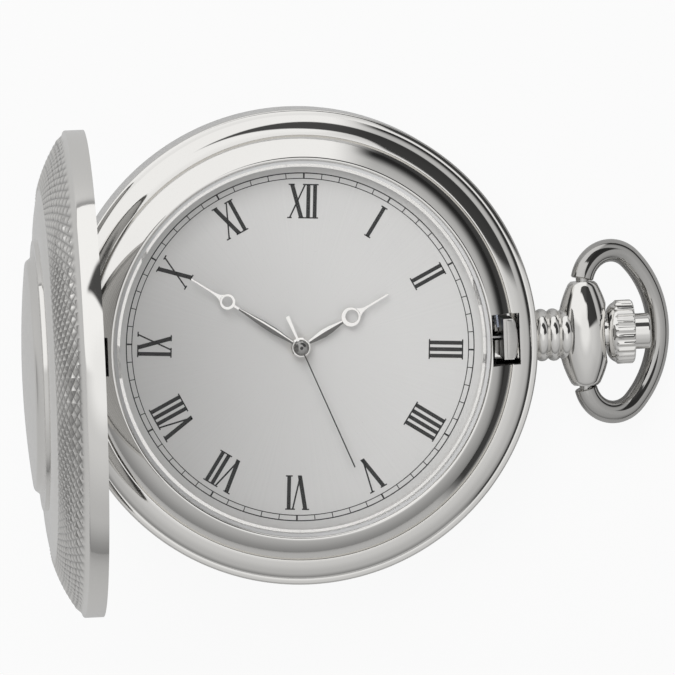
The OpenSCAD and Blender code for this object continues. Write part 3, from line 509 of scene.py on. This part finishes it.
# Points round the pyramids, but not their peaks, are marked in cut: the valleys that take painted shade.
for face in faces_round(peaks):
    for v in face.verts:
        v[cut] = chequer_in + chequer_edge < v.co.xy.length < chequer_out - chequer_edge
for v in peaks:
    v[cut] = 0.0
bm = carve(bm, block((-past_rim, -hinge_room, -1), (hinge_flat_x, hinge_room, hinge_room_h)))
for face in bm.faces:
    face.material_index = int(face.normal.dot(face.calc_center_median()) < -0.1)
attach(bm, block((hinge.x - lid_web_back, -lid_knuckle_half, hinge.z - seat_z),
                 (hinge.x + lid_web_front, lid_knuckle_half, lid_web_h)))
bmesh.ops.transform(bm, matrix=OPEN_LID, verts=bm.verts[:])
bar_y(bm, knuckle_r, -lid_knuckle_half, lid_knuckle_half, hinge)
chequered, shade = finish("chequered_lid")
# Painted shade: the colour darkens towards the valleys. The added roughness is the real dullness of the
# cut.
furrow_shade = shade.node("Attribute", {"attribute_name": "cut"}, output="Fac")
furrow_shade = furrow_shade * furrow_shade
touch = shade.noise(140.0)
shade.surface(Base_Color=shade.blend(furrow_shade, grey(0.84, WARM), grey(0.42, WARM)), Metallic=1.0,
              Roughness=0.04 + 0.15 * furrow_shade + 0.03 * touch,
              Normal=shade.bump(touch, 0.0000005))
brushed, shade = finish("brushed_inside")
_, lid_y, lid_z = shade.axes()
rings = shade.lines(shade.length(lid_y, lid_z - OPEN_LID.translation.z * MM), 3000.0)
shade.surface(Base_Color=shade.blend(rings, grey(0.4, WARM), grey(0.56, WARM)), Metallic=1.0,
              Roughness=0.2 + 0.14 * rings, Normal=shade.bump(rings, 0.000003))
settle(bm, "lid_chequered", "lid", ["lid_shell"], "polished_case", chequered, brushed)

# Lid disc: the raised plate in the middle of the lid, stamped with two steps and left plain.
# It is soldered onto the dome and polished with it.

disc_r, disc_top_r, disc_foot = 13.4, 11.2, -0.02
disc_h, disc_crown = 1.05, 0.7
step_h, step_lip_h, step_w, groove_w = 0.3, 0.38, 0.9, 0.25
slope_foot, slope_h, slope_head, slope_drop = 0.4, 0.6, 0.12, 0.08
bm = bmesh.new()
lathe(bm, [(0, disc_foot), (disc_r, disc_foot), (disc_r - 0.1, step_h), (disc_r - step_w, step_lip_h),
           (disc_r - step_w - groove_w, step_h), (disc_top_r + slope_foot, slope_h),
           (disc_top_r + slope_head, disc_h - slope_drop)]
      + arc((disc_top_r, disc_h), (0, disc_h + disc_crown), disc_crown / 4, 24)[:-1]
      + [(0, disc_h + disc_crown)],
      place=OPEN_LID @ Matrix.Translation((0, 0, dome_h)))
settle(bm, "lid_plate", "lid", ["lid_disc"], "polished_case", case_finish)

# Steelwork: the lid's catch plate, hinge pin and lifting spring, the winding stem with its lever,
# the bridge's screws, and the motor's stator and rotor. They are cut from strip and wire and are
# straight grained, and the spring keeps a faint blue.


def strip_steel(name, light, dark, rough):
    """Steel with the grain of the rolling mill along the piece."""
    made, shade = finish(name)
    grain = shade.noise(1.0, 4.0, shade.stretched(300, 6000, 6000))
    shade.surface(Base_Color=shade.blend(grain, dark, light), Metallic=1.0,
                  Roughness=rough + 0.15 * grain, Normal=shade.bump(grain, 0.000002))
    return made


steel = strip_steel("strip_steel", grey(0.62), grey(0.45), 0.22)
spring_steel = strip_steel("blued_spring", (0.5, 0.54, 0.62, 1), (0.32, 0.36, 0.46, 1), 0.18)
redress(steel, "lid_catch", "hinge_pin", "winding_stem", "setting_lever",
        "bridge_screws", "stator", "rotor")
redress(spring_steel, "lid_spring")

# Latch: a steel block that slides in the case's slot and hooks the lid's catch plate.
# Its head is filed to a slope with a bowed edge, so that the shutting lid can push it back.

latch_low, latch_high = span("latch")
head_back, head_w, head_bow, head_drop, head_t = 20.78, 1.1, 0.3, 0.3, 0.2
head_half = latch_high.y - 0.1
shank_end, shank_drop = 21.45, 0.15
stem_hole_r, stem_hole_x, stem_hole_l = 0.43, 21, 4


def points_of(geom):
    """The points among the points, edges and faces that an operator made."""
    return [g for g in geom if isinstance(g, bmesh.types.BMVert)]


bm = bmesh.new()
bmesh.ops.create_grid(bm, x_segments=6, y_segments=32, size=0.5)
for v in bm.verts:
    across, along = v.co.x + 0.5, 2 * v.co.y
    v.co.x = head_back + across * (head_w - head_bow * along**2)
    v.co.y = along * head_half
    v.co.z = latch_high.z - head_drop * across**2
lower = bmesh.ops.extrude_face_region(bm, geom=bm.faces[:])["geom"]
bmesh.ops.translate(bm, vec=(0, 0, -head_t), verts=points_of(lower))
bmesh.ops.recalc_face_normals(bm, faces=bm.faces[:])
soften(bm, 0.05, math.radians(60))
shank = block(latch_low, (shank_end, latch_high.y, latch_high.z - shank_drop))
stem_hole = bmesh.new()
rod(stem_hole, stem_hole_r, stem_hole_l, 32, ALONG_X @ Matrix.Translation((0, 0, stem_hole_x)))
attach(bm, carve(shank, stem_hole))
satin = strip_steel("satin_steel", grey(0.72, 0.04), grey(0.6, 0.04), 0.3)
settle(bm, "latch_head", "latch", ["latch"], "steel", satin)

# Bow: round wire bent to an oval, its ends cut square and turned down to studs.
# The studs spring into the pendant's barrel, and the bow swings on them.

wire_r = 1.15
bow_belly, bow_bend = 3.3, 3.4
bow_a, bow_b = 5.45, 8.2
bow_reach = bow_belly + bow_a + wire_r
stud_r, stud_in, stud_root = 0.65, 4.6, 0.3
end_edge, end_h = 0.12, 0.1
table_gap = 0.03
bow_tilt = math.asin((axis_z - wire_r - table_gap) / (bow_reach - wire_r))
bend_y = bow_b - bow_bend
far_r = (bow_a**2 + bend_y**2 - bow_bend**2) / (2 * (bow_a - bow_bend))
far_turn = math.atan2(bend_y, far_r - bow_a)
end_turn = math.acos(-bow_belly / bow_bend)
end_y = bend_y + bow_bend * math.sin(end_turn)


def closed_loop(points):
    """Points of a closed outline, with the edges between them."""
    return points + list(dict.fromkeys(e for v in points for e in v.link_edges))


def bend(bm, loop, centre, turn, steps):
    """Carries a loop of wire round a centre and returns the loop at the far end."""
    made = bmesh.ops.spin(bm, geom=loop, cent=(*centre, 0), axis=(0, 0, 1), angle=turn, steps=steps)
    return [g for g in made["geom_last"] if not isinstance(g, bmesh.types.BMFace)]


bm = bmesh.new()
start = Matrix.Translation((bow_belly + bow_bend * math.cos(-end_turn),
                            -bend_y + bow_bend * math.sin(-end_turn), 0))
start = start @ Matrix.Rotation(-end_turn, 4, "Z") @ Matrix.Rotation(math.pi / 2, 4, "X")
loop = closed_loop(bmesh.ops.create_circle(bm, segments=40, radius=wire_r, matrix=start)["verts"])
loop = bend(bm, loop, (bow_belly, -bend_y), end_turn - far_turn, 36)
loop = bend(bm, loop, (bow_belly + bow_a - far_r, 0), 2 * far_turn, 48)
bend(bm, loop, (bow_belly, bend_y), end_turn - far_turn, 36)
for side in (-1, 1):
    rim = [e for e in bm.edges if e.is_boundary and e.verts[0].co.y * side > 0]
    cap = bmesh.ops.contextual_create(bm, geom=rim)["faces"]
    bmesh.ops.inset_region(bm, faces=cap, thickness=end_edge, depth=end_h)
bmesh.ops.recalc_face_normals(bm, faces=bm.faces[:])
for side in (-1, 1):
    low, high = sorted((side * stud_in, side * (end_y + stud_root)))
    bar_y(bm, stud_r, low, high, (0, 0, 0))
bmesh.ops.transform(bm, matrix=Matrix.Translation(pivot) @ Matrix.Rotation(bow_tilt, 4, "Y"),
                    verts=bm.verts[:])
# The bow's polish is a darker grey than the case's.
bow_finish = polished("dark_polished_bow", 0.52, 0.05)
settle(bm, "bow_wire", "bow", ["bow"], "polished_case", bow_finish)

# Crown: turned, fluted round its edge for the fingers, and bored for the release button.
# The button is a plain plunger that a dished spring holds out.

hub_r, hub_x = 1.45, 29.1
skirt_x, crown_x, crown_front = 31.25, 32.0, 33.95
crown_r = 3.225
skirt_r, skirt_sag = crown_r - 1.1, 0.12
crown_edge, grip_in = 0.2, 0.8
face_edge, face_round, face_sag = 0.25, 0.4, 0.06
button_r, button_back, button_front = 1.8, 33.2, 35.65
button_wall, button_edge, button_rise, button_sag = 0.3, 0.25, 0.02, 0.07
cavity_x = 32.05
stem_r = 0.33
bore_gap = 0.05
flutes, flute_depth, flute_steps = 28, 0.2, 10

bm = bmesh.new()
turned = lathe(bm, [(stem_r + bore_gap, hub_x), (hub_r, hub_x), (hub_r, skirt_x), (skirt_r, skirt_x)]
               + arc((skirt_r + 0.05, skirt_x), (crown_r - crown_edge, crown_x), skirt_sag, 8)
               + [(crown_r, crown_x + crown_edge), (crown_r, crown_x + grip_in),
                  (crown_r, crown_front - grip_in), (crown_r, crown_front - face_edge)]
               + arc((crown_r - 0.02, crown_front - crown_edge), (crown_r - face_round, crown_front),
                     face_sag, 4)
               + [(button_r + bore_gap, crown_front), (button_r + bore_gap, cavity_x),
                  (stem_r + bore_gap, cavity_x)],
               steps=flutes * flute_steps)
for v in turned:
    turn = math.atan2(v.co.y, v.co.x) * flutes
    groove = crown_r - flute_depth * (0.5 + 0.5 * math.cos(turn)) ** 0.7
    far = v.co.xy.length
    if far > groove:
        v.co.xy *= groove / far
bmesh.ops.transform(bm, matrix=ALONG_X, verts=bm.verts[:])
settle(bm, "crown_fluted", "crown", ["crown"], "polished_case", case_finish)

bm = bmesh.new()
lathe(bm, [(0, button_back), (button_r, button_back), (button_r, button_front - button_wall)]
      + arc((button_r, button_front - button_edge), (button_r - button_edge, button_front - button_rise),
            button_sag, 6)
      + [(0, button_front)], steps=96, place=ALONG_X)
settle(bm, "button_plunger", "stem", ["release_button"], "polished_case", case_finish)

# Springs that give: the dished washer under the button and the leaf behind the latch.
# Both are blued steel.

washer_t, washer_land = 0.12, 0.15
washer_out, washer_in = button_r - 0.05, stem_r + 0.35
bm = bmesh.new()
lathe(bm, [(washer_out - washer_land, cavity_x), (washer_out, cavity_x),
           (washer_out, cavity_x + washer_t), (washer_in + washer_land, button_back),
           (washer_in, button_back), (washer_in, button_back - washer_t)],
      steps=96, place=ALONG_X)
washer_ends = [Vector((x, 0, axis_z)) * MM for x in (cavity_x, button_back)]
settle(bm, "button_washer", ("crown", "stem", *washer_ends), ["button_spring"], "steel", spring_steel)

leaf_r, leaf_half, leaf_t = bore_r + 0.03, 0.6, 0.2
leaf_tip, leaf_foot = math.asin(1 / leaf_r), math.radians(72)
foot_turn = 0.035
give_from, give_to = leaf_tip + 0.078, leaf_tip + 0.006


def leaf(bm, thick, start, end, steps):
    """A leaf of spring that lies in the case groove, from one bearing to another."""
    section = (Matrix.Rotation(start, 4, "Z") @ Matrix.Translation((leaf_r + thick / 2, 0, axis_z))
               @ Matrix.Rotation(math.pi / 2, 4, "X") @ Matrix.Diagonal((thick, 2 * leaf_half, 1, 1))
               @ Matrix.Rotation(math.pi / 4, 4, "Z"))
    corners = bmesh.ops.create_circle(bm, segments=4, radius=math.sqrt(0.5), matrix=section)["verts"]
    bend(bm, closed_loop(corners), (0, 0), end - start, steps)
    bmesh.ops.holes_fill(bm, edges=[e for e in bm.edges if e.is_boundary], sides=0)


bm = bmesh.new()
leaf(bm, leaf_t, leaf_foot, leaf_tip, 120)
leaf(bm, groove_r - leaf_r, leaf_foot + foot_turn, leaf_foot - foot_turn, 4)
bmesh.ops.recalc_face_normals(bm, faces=bm.faces[:])
leaf_ends = [Vector((leaf_r * math.cos(a), leaf_r * math.sin(a), axis_z)) * MM
             for a in (give_from, give_to)]
settle(bm, "latch_leaf", ("case", "latch", *leaf_ends), ["latch_spring"], "steel", spring_steel)

# Movement: a brass main plate and bridge with the train between them, a steel motor, a circuit
# board with its quartz can, and a button cell under a strap. Screws hold the bridge.


def turned_metal(name, light, dark):
    """Metal with the rings that the lathe tool leaves."""
    made, shade = finish(name)
    x, y, _ = shade.axes()
    rings = shade.maths("SINE", 25000.0 * shade.length(x, y)) * 0.5 + 0.5
    stain = shade.noise(250.0)
    shade.surface(Base_Color=shade.blend(stain, dark, light), Metallic=1.0,
                  Roughness=0.22 + 0.12 * stain + 0.06 * rings, Normal=shade.bump(rings, 0.000001))
    return made


brass = turned_metal("turned_brass", (0.8, 0.62, 0.32, 1), (0.68, 0.49, 0.22, 1))
redress(brass, "main_plate", "train_bridge", "step_wheel", "seconds_wheel", "third_wheel",
        "minute_wheel", "motion_wheel", "hour_wheel", "clutch_wheel", "battery_strap")
cell = turned_metal("cell_can", grey(0.78), grey(0.66))
redress(cell, "battery", "quartz_can")

board, shade = finish("circuit_board")
tracks = shade.node("TexVoronoi", {"feature": "DISTANCE_TO_EDGE"},
                    {"Vector": shade.place(), "Scale": 700.0})
copper_line = shade.maths("LESS_THAN", tracks, 0.06)
shade.surface(Base_Color=shade.blend(copper_line, (0.02, 0.14, 0.07, 1), (0.1, 0.32, 0.16, 1)),
              Roughness=0.35 + 0.15 * copper_line, Normal=shade.bump(copper_line, 0.00001))
redress(board, "circuit_board")

winding, shade = finish("coil_winding")
turns = shade.node("TexWave", {"bands_direction": "X"}, {"Vector": shade.place(), "Scale": 3000.0})
shade.surface(Base_Color=shade.blend(turns, (0.42, 0.15, 0.05, 1), (0.75, 0.34, 0.15, 1)),
              Metallic=0.8, Roughness=0.3 + 0.2 * turns, Normal=shade.bump(turns, 0.00002))
redress(winding, "coil")

# Dial: a thin brass disc, silvered and lacquered to a satin white, held by two feet.
# Numerals and the minute track are printed on it in black.

dial_r, dial_low, dial_bore = 18.8, 7.1, 0.85
dial_turn = math.radians(3.3)
foot_out, foot_r, foot_l, foot_z = 9.5, 0.35, 1.7, 6.25

dial_finish, shade = finish("silvered_dial")
dial_x, dial_y, _ = shade.axes()
rays = shade.lines(shade.maths("ARCTAN2", dial_y, dial_x), 60.0)
grit = shade.noise(9000.0, 2.0)
shade.surface(Base_Color=shade.blend(rays, grey(0.61, 0.02), grey(0.65, 0.02)), Metallic=0.25,
              Roughness=0.38 + 0.08 * grit + 0.06 * rays, Normal=shade.bump(grit, 0.000003))
bm = bmesh.new()
lathe(bm, [(dial_bore, dial_low), (dial_r, dial_low), (dial_r, dial_top), (dial_bore, dial_top)])
for turn in (40, 220):
    at = math.radians(turn) - dial_turn
    place = Matrix.Translation((foot_out * math.cos(at), foot_out * math.sin(at), foot_z))
    rod(bm, foot_r, foot_l, 24, place)
settle(bm, "dial_disc", "case", ["dial"], "dial_silver", dial_finish)

print_t = 0.02
print_h = 3.48
print_middle = 14.71
stem_w, hair_w, serif_t = 0.385, 0.165, 0.13
track_out, track_out_w = 17.55, 0.11
track_in, track_in_w = 17.0, 0.085
minute_w, hour_w = 0.085, 0.17

ink, shade = finish("dial_ink")
speck = shade.noise(6000.0, 2.0)
shade.surface(Base_Color=shade.blend(speck, grey(0.013), grey(0.026)), Roughness=0.5 + 0.2 * speck,
              Specular_IOR_Level=0.15, Normal=shade.bump(speck, 0.000003))


def stroke(bm, start, end, width, place):
    """A printed bar of the given width from start to end, with its ends cut level."""
    (x0, y0), (x1, y1) = start, end
    slant = (x1 - x0) / (y1 - y0)
    made = bmesh.ops.create_cube(bm, size=1)["verts"]
    bmesh.ops.scale(bm, vec=(width, y1 - y0, print_t), verts=made)
    lean = Matrix(((1, slant, 0, (x0 + x1) / 2), (0, 1, 0, (y0 + y1) / 2), (0, 0, 1, 0), (0, 0, 0, 1)))
    bmesh.ops.transform(bm, matrix=place @ lean, verts=made)


# Each letter: its strokes as (foot x, head x, width), its serifs as (x, width) at foot and head,
# and the room that it takes before the next letter. An I takes less room before a V or an X.
LETTERS = {
    "I": ([(0, 0, stem_w)], [(0, 0.7)], [(0, 0.7)], 0.665),
    "V": ([(0.62, 0, 0.42), (0.56, 1.3, hair_w)], [], [(-0.02, 0.72), (1.3, 0.5)], 1.69),
    "X": ([(1.2, 0.19, 0.43), (0, 1.55, hair_w)], [(0, 0.46), (1.2, 0.62)],
          [(0.17, 0.62), (1.55, 0.5)], 1.87),
}
I_BEFORE_WIDE = 0.42


def numeral(bm, letters, turn):
    """Prints a numeral with its feet to the dial's centre."""
    pens, pen = [], 0.0
    for n, letter in enumerate(letters):
        pens.append((letter, pen))
        ahead = letters[n + 1:n + 2]
        pen += I_BEFORE_WIDE if letter == "I" and ahead in ("X", "V") else LETTERS[letter][3]
    ends = [start + x + side * width / 2 for letter, start in pens
            for x, width in LETTERS[letter][2] for side in (-1, 1)]
    middle = (min(ends) + max(ends)) / 2
    place = (Matrix.Rotation(-turn - dial_turn, 4, "Z")
             @ Matrix.Translation((-middle, print_middle - print_h / 2, dial_top + print_t / 2)))
    for letter, start in pens:
        strokes, feet, heads, _ = LETTERS[letter]
        for foot, head, width in strokes:
            stroke(bm, (start + foot, 0), (start + head, print_h), width, place)
        for x, width in feet:
            stroke(bm, (start + x, 0), (start + x, serif_t), width, place)
        for x, width in heads:
            stroke(bm, (start + x, print_h - serif_t), (start + x, print_h), width, place)


bm = bmesh.new()
NUMERALS = ("XII", "I", "II", "III", "IIII", "V", "VI", "VII", "VIII", "IX", "X", "XI")
for hour, letters in enumerate(NUMERALS):
    numeral(bm, letters, math.radians(30 * hour))
for radius, width in ((track_out, track_out_w), (track_in, track_in_w)):
    lathe(bm, [(radius - width / 2, dial_top), (radius + width / 2, dial_top),
               (radius + width / 2, dial_top + print_t), (radius - width / 2, dial_top + print_t)])
for minute in range(60):
    place = Matrix.Rotation(-math.radians(6 * minute) - dial_turn, 4, "Z")
    place = place @ Matrix.Translation((0, 0, dial_top + print_t / 2))
    stroke(bm, (0, track_in), (0, track_out), minute_w if minute % 5 else hour_w, place)
settle(bm, "dial_print", "case", [], "dial_silver", ink)

# Hands: stamped from steel strip, filed to a ridge, pierced with an eye and polished bright.
# Each is pressed onto its own tube or arbor at the dial's centre.
# The seconds hand has no eye, and its long needle is blackened.

hour_z, minute_z, second_z = 8.1, 8.55, 9.0
hand_t = 0.14
FLAT = 0.002
CREST_SHIFT = 0.2
hour_at, minute_at, second_at = 57.6, 301.0, 154.7
hour_reach, minute_reach, second_reach, second_tail = 10.3, 13.1, 13.2, 3.5
boss_r, boss_h = 1.0, 0.22
cap_r, cap_h, cap_edge, cap_sag = 0.8, 0.46, 0.1, 0.13
pin_r, pin_low, pin_high = 0.19, 0.2, cap_h + 0.02

hand_finish = polished("polished_hand", 0.93, 0.06)
# One flank of the hour and minute hands takes a dark steel: painted shade for the facet that reflects the
# dark room.
dark_flank_shade = strip_steel("hand_flank_shade", grey(0.2, 0.05), grey(0.11, 0.05), 0.25)
blackened = strip_steel("blackened_hand", grey(0.07), grey(0.04), 0.3)
# The seconds cap is a dark copy of the polish: painted shade for the dark room that its dome reflects.
cap_shade_finish = polished("polished_cap_shaded", 0.34, 0.1)


def needle(bm, stations, flank=0, ridge=0.06):
    """A ridged blade along +X through stations of (x, half width), perhaps with one flank painted dark as
    shade.
    """
    before = set(bm.verts)
    edge = [bm.verts.new((x, half, 0)) for x, half in stations]
    chain = [bm.edges.new(pair) for pair in zip(edge, edge[1:])]
    upper = bmesh.ops.extrude_edge_only(bm, edges=chain)["geom"]
    bmesh.ops.translate(bm, vec=(0, 0, hand_t), verts=points_of(upper))
    top = [g for g in upper if isinstance(g, bmesh.types.BMEdge)]
    crest = points_of(bmesh.ops.extrude_edge_only(bm, edges=top)["geom"])
    bmesh.ops.scale(bm, vec=(1, 0, 1), verts=crest)
    bmesh.ops.translate(bm, vec=(0, 0, ridge), verts=crest)
    made = [v for v in bm.verts if v not in before]
    geom = made + [g for kind in (bm.edges, bm.faces) for g in kind if g.verts[0] in made]
    bmesh.ops.mirror(bm, geom=geom, axis="Y", merge_dist=1e-4)
    made = [v for v in bm.verts if v not in before]
    rim = [e for e in bm.edges if e.is_boundary and e.verts[0] in made]
    bmesh.ops.holes_fill(bm, edges=rim, sides=0)
    faces = [f for f in bm.faces if f.verts[0] in made]
    bmesh.ops.recalc_face_normals(bm, faces=faces)
    for face in faces:
        face.material_index = int(flank * face.calc_center_median().y > 0)
    widths = {round(x, 3): half for x, half in stations}
    widest = max(widths.values())
    for v in made:
        if abs(v.co.y) < 1e-4 and v.co.z > hand_t:
            half = widths[round(v.co.x, 3)]
            v.co.y -= flank * CREST_SHIFT * half
            v.co.z = hand_t + ridge * half / widest
    return faces


def eye(bm, at, outer, hole, shift):
    """The pierced ring of a hand; its hole sits a little towards the tip."""
    middle, half = (outer + hole) / 4, (outer - hole) / 4
    top = hand_t + 0.05
    ring = lathe(bm, [(middle - half, 0), (middle + half, 0), (middle + half, hand_t * 0.7),
                      (middle + half * 0.75, top), (middle - half * 0.75, top),
                      (middle - half, hand_t * 0.7)], steps=64)
    for v in ring:
        if v.co.xy.length < middle:
            v.co.x += shift
    bmesh.ops.translate(bm, vec=(at, 0, 0), verts=ring)


def boss(bm, bore):
    """The round boss that the hand is pressed on by."""
    lathe(bm, [(bore, 0), (boss_r, 0), (boss_r, boss_h * 0.6), (boss_r - 0.12, boss_h), (bore, boss_h)],
          steps=64)


def hang(bm, height, clockwise):
    """Turns a finished hand to its place on the dial."""
    turn = math.pi / 2 - math.radians(clockwise) - dial_turn
    bmesh.ops.transform(bm, matrix=Matrix.Translation((0, 0, height)) @ Matrix.Rotation(turn, 4, "Z"),
                        verts=bm.verts[:])


def dress(faces, number):
    """Gives faces one of the piece's finishes, by its number."""
    for face in faces:
        face.material_index = number


bm = bmesh.new()
needle(bm, [(0.85, 0.16), (1.8, 0.3), (2.7, 0.42), (3.6, 0.36), (4.4, 0.22), (4.95, 0.14)], -1)
eye(bm, 5.9, 2.0, 1.24, 0.12)
needle(bm, [(6.68, 0.58), (6.9, 0.4), (7.15, 0.25), (7.5, 0.15), (7.9, 0.1), (hour_reach, 0.07)],
       ridge=FLAT)
boss(bm, 0.5)
hang(bm, hour_z, hour_at)
settle(bm, "hour_pointer", "hour", ["hour_hand"], "hand_silver", hand_finish, dark_flank_shade)

bm = bmesh.new()
needle(bm, [(0.75, 0.14), (1.8, 0.22), (3.2, 0.34), (4.6, 0.31), (6.2, 0.2), (7.4, 0.115)], 1)
needle(bm, [(7.3, 0.12), (7.7, 0.11), (8.15, 0.14)], ridge=FLAT)
eye(bm, 8.76, 1.62, 1.0, 0.04)
needle(bm, [(9.33, 0.5), (9.5, 0.36), (9.8, 0.2), (10.2, 0.12), (10.8, 0.08), (minute_reach, 0.06)],
       ridge=FLAT)
boss(bm, 0.2)
hang(bm, minute_z, minute_at)
settle(bm, "minute_pointer", "minute", ["minute_hand"], "hand_silver", hand_finish, dark_flank_shade)

bm = bmesh.new()
needle(bm, [(-second_tail, 0.19), (-second_tail * 0.5, 0.13), (-0.5, 0.1)], ridge=FLAT)
dress(needle(bm, [(0, 0.055), (4, 0.055), (second_reach, 0.065)]), 1)
cap = lathe(bm, [(0, 0), (cap_r, 0)] + arc((cap_r, cap_edge), (0, cap_h), cap_sag, 12)[:-1]
            + [(0, cap_h)], steps=64)
dress(faces_round(cap), 2)
pin = lathe(bm, [(0, pin_low), (pin_r, pin_low), (pin_r, cap_h), (pin_r - 0.04, pin_high), (0, pin_high)],
            steps=32)
dress(faces_round(pin), 1)
hang(bm, second_z, second_at)
settle(bm, "second_pointer", "seconds", ["seconds_hand"], "hand_silver",
       hand_finish, blackened, cap_shade_finish)

# Studio: the watch lies on a white table under a soft box. A dark card stands low on its right,
# with another on the table before it, and a third hangs above, between the twelve and the crown.
# They draw the black bands that polished metal shows.

card_from, card_to = 24, 136
foot_card_near, foot_card_far = 0.05, 0.09
card_dark = 0.93
DEGREES = 180 / math.pi


def ramp(value, low, high):
    """Rises smoothly from 0 to 1 as a value goes from low to high."""
    return value.node("MapRange", {"interpolation_type": "SMOOTHSTEP"},
                      {"Value": value, "From Min": low, "From Max": high})


def between(value, low, high, soft):
    """1 inside a band of values, with soft edges."""
    return ramp(value, low - soft, low + soft) * (1 - ramp(value, high - soft, high + soft))


table, shade = finish("white_table")
table_x, table_y, _ = shade.axes()
table_bearing = shade.maths("ARCTAN2", table_x, table_y) * DEGREES
past_foot = ramp(shade.length(table_x, table_y), foot_card_near, foot_card_far)
straight = shade.node("LightPath", output="Is Camera Ray")
glossy = shade.node("LightPath", output="Is Glossy Ray")
through = shade.node("LightPath", output="Is Transmission Ray")
foot_card = between(table_bearing, card_from, card_to, 6) * past_foot * glossy
seen = shade.maths("MAXIMUM", 0.93 * shade.maths("MAXIMUM", straight, through),
                   0.1 * (glossy - foot_card))
lit = shade.node("BsdfDiffuse", inputs={"Color": shade.blend(foot_card, grey(0.42), grey(0.05))})
glow = shade.node("Emission", inputs={"Color": grey(1.0), "Strength": 1.0})
both = shade.node("MixShader", inputs={0: seen, 1: lit, 2: glow})
shade.node("OutputMaterial", inputs={"Surface": both})
bm = bmesh.new()
bmesh.ops.create_grid(bm, x_segments=1, y_segments=1, size=3.0,
                      matrix=Matrix.Translation((0, 0, -0.0001)))
table_mesh = bpy.data.meshes.new("table_top")
bm.to_mesh(table_mesh)
bm.free()
table_mesh.materials.append(table)
table_top = bpy.data.objects.new("table_top", table_mesh)
bpy.context.scene.collection.objects.link(table_top)

room = bpy.data.worlds.new("studio")
room.use_nodes = True
room.node_tree.nodes.clear()
shade = Shade(room.node_tree)
east, north, rise = shade.axes(shade.node("TexCoord", output="Generated"))
bearing = shade.maths("ARCTAN2", east, north) * DEGREES
height = shade.maths("ARCSINE", rise) * DEGREES
# The walls grow lighter upwards, and the one beyond the twelve is white from the floor.
north_wall = between(bearing, -75, 22, 8)
right_wall = between(bearing, card_from, 124, 8)
wall = 0.25 + 0.27 * ramp(height, -3, 22) + 0.16 * ramp(height, 22, 60)
near_wall = wall * (1 - north_wall) + 1.04 * north_wall + 0.04 * right_wall
ceiling = ramp(height, 60, 80)
tone = near_wall * (1 - ceiling) + 0.95 * ceiling
# The right card is lower towards the six, and the top card narrows towards the lid.
right_top = height + 12 * ramp(bearing, 80, 140)
right_card = between(bearing, card_from, card_to, 4) * (1 - ramp(right_top, 3, 14))
taper = 1 - ramp(bearing, -26, 14)
top_reach = height - 14 * ramp(bearing, 25, 45) + 14 * taper
top_foot = height - 14 * taper
top_card = between(bearing, -22, 80, 4) * ramp(top_foot, 27, 31) * (1 - ramp(top_reach, 56, 60))
tone = tone * (1 - card_dark * right_card) * (1 - card_dark * top_card)
straight = shade.node("LightPath", output="Is Camera Ray")
tone = tone * (1 - straight) + straight
shade.node("OutputWorld", inputs={"Surface": shade.node("Background", inputs={"Color": tone})})
bpy.context.scene.world = room

lamp = bpy.data.lights.new("soft_box", "AREA")
lamp.shape, lamp.size, lamp.size_y, lamp.energy = "RECTANGLE", 0.6, 0.5, 4.6
soft_box = bpy.data.objects.new("soft_box", lamp)
soft_box.location = (-0.22, 0.4, 0.62)
soft_box.rotation_euler = (-soft_box.location).to_track_quat("-Z", "Y").to_euler()
soft_box.visible_glossy = False
bpy.context.scene.collection.objects.link(soft_box)
bpy.context.scene.view_settings.view_transform = "Standard"

# Camera: a long lens over the dial, a little from the twelve and from the lid's side.
# Its place, roll and focal length were fitted to the photograph.

LOOK_AT = Vector((3.744, 0.834, 8.0)) * MM
FAR = 1.1556
FROM_CROWN, FROM_TWELVE, ROLL = (math.radians(a) for a in (-4.15, 3.99, -2.13))
LENS = 612.3

back = Vector((math.sin(FROM_CROWN), math.sin(FROM_TWELVE) * math.cos(FROM_CROWN),
               math.cos(FROM_TWELVE) * math.cos(FROM_CROWN))).normalized()
right = Vector((0, 1, 0)).cross(back).normalized()
level = Matrix((right, back.cross(right), back)).transposed()
lens = bpy.data.cameras.new("camera")
lens.lens, lens.sensor_width = LENS, 36.0
lens.clip_start, lens.clip_end = 0.05, 20.0
camera = bpy.data.objects.new("camera", lens)
camera.matrix_world = (Matrix.Translation(LOOK_AT + back * FAR)
                       @ (level @ Matrix.Rotation(ROLL, 3, "Z")).to_4x4())
bpy.context.scene.collection.objects.link(camera)
bpy.context.scene.camera = camera
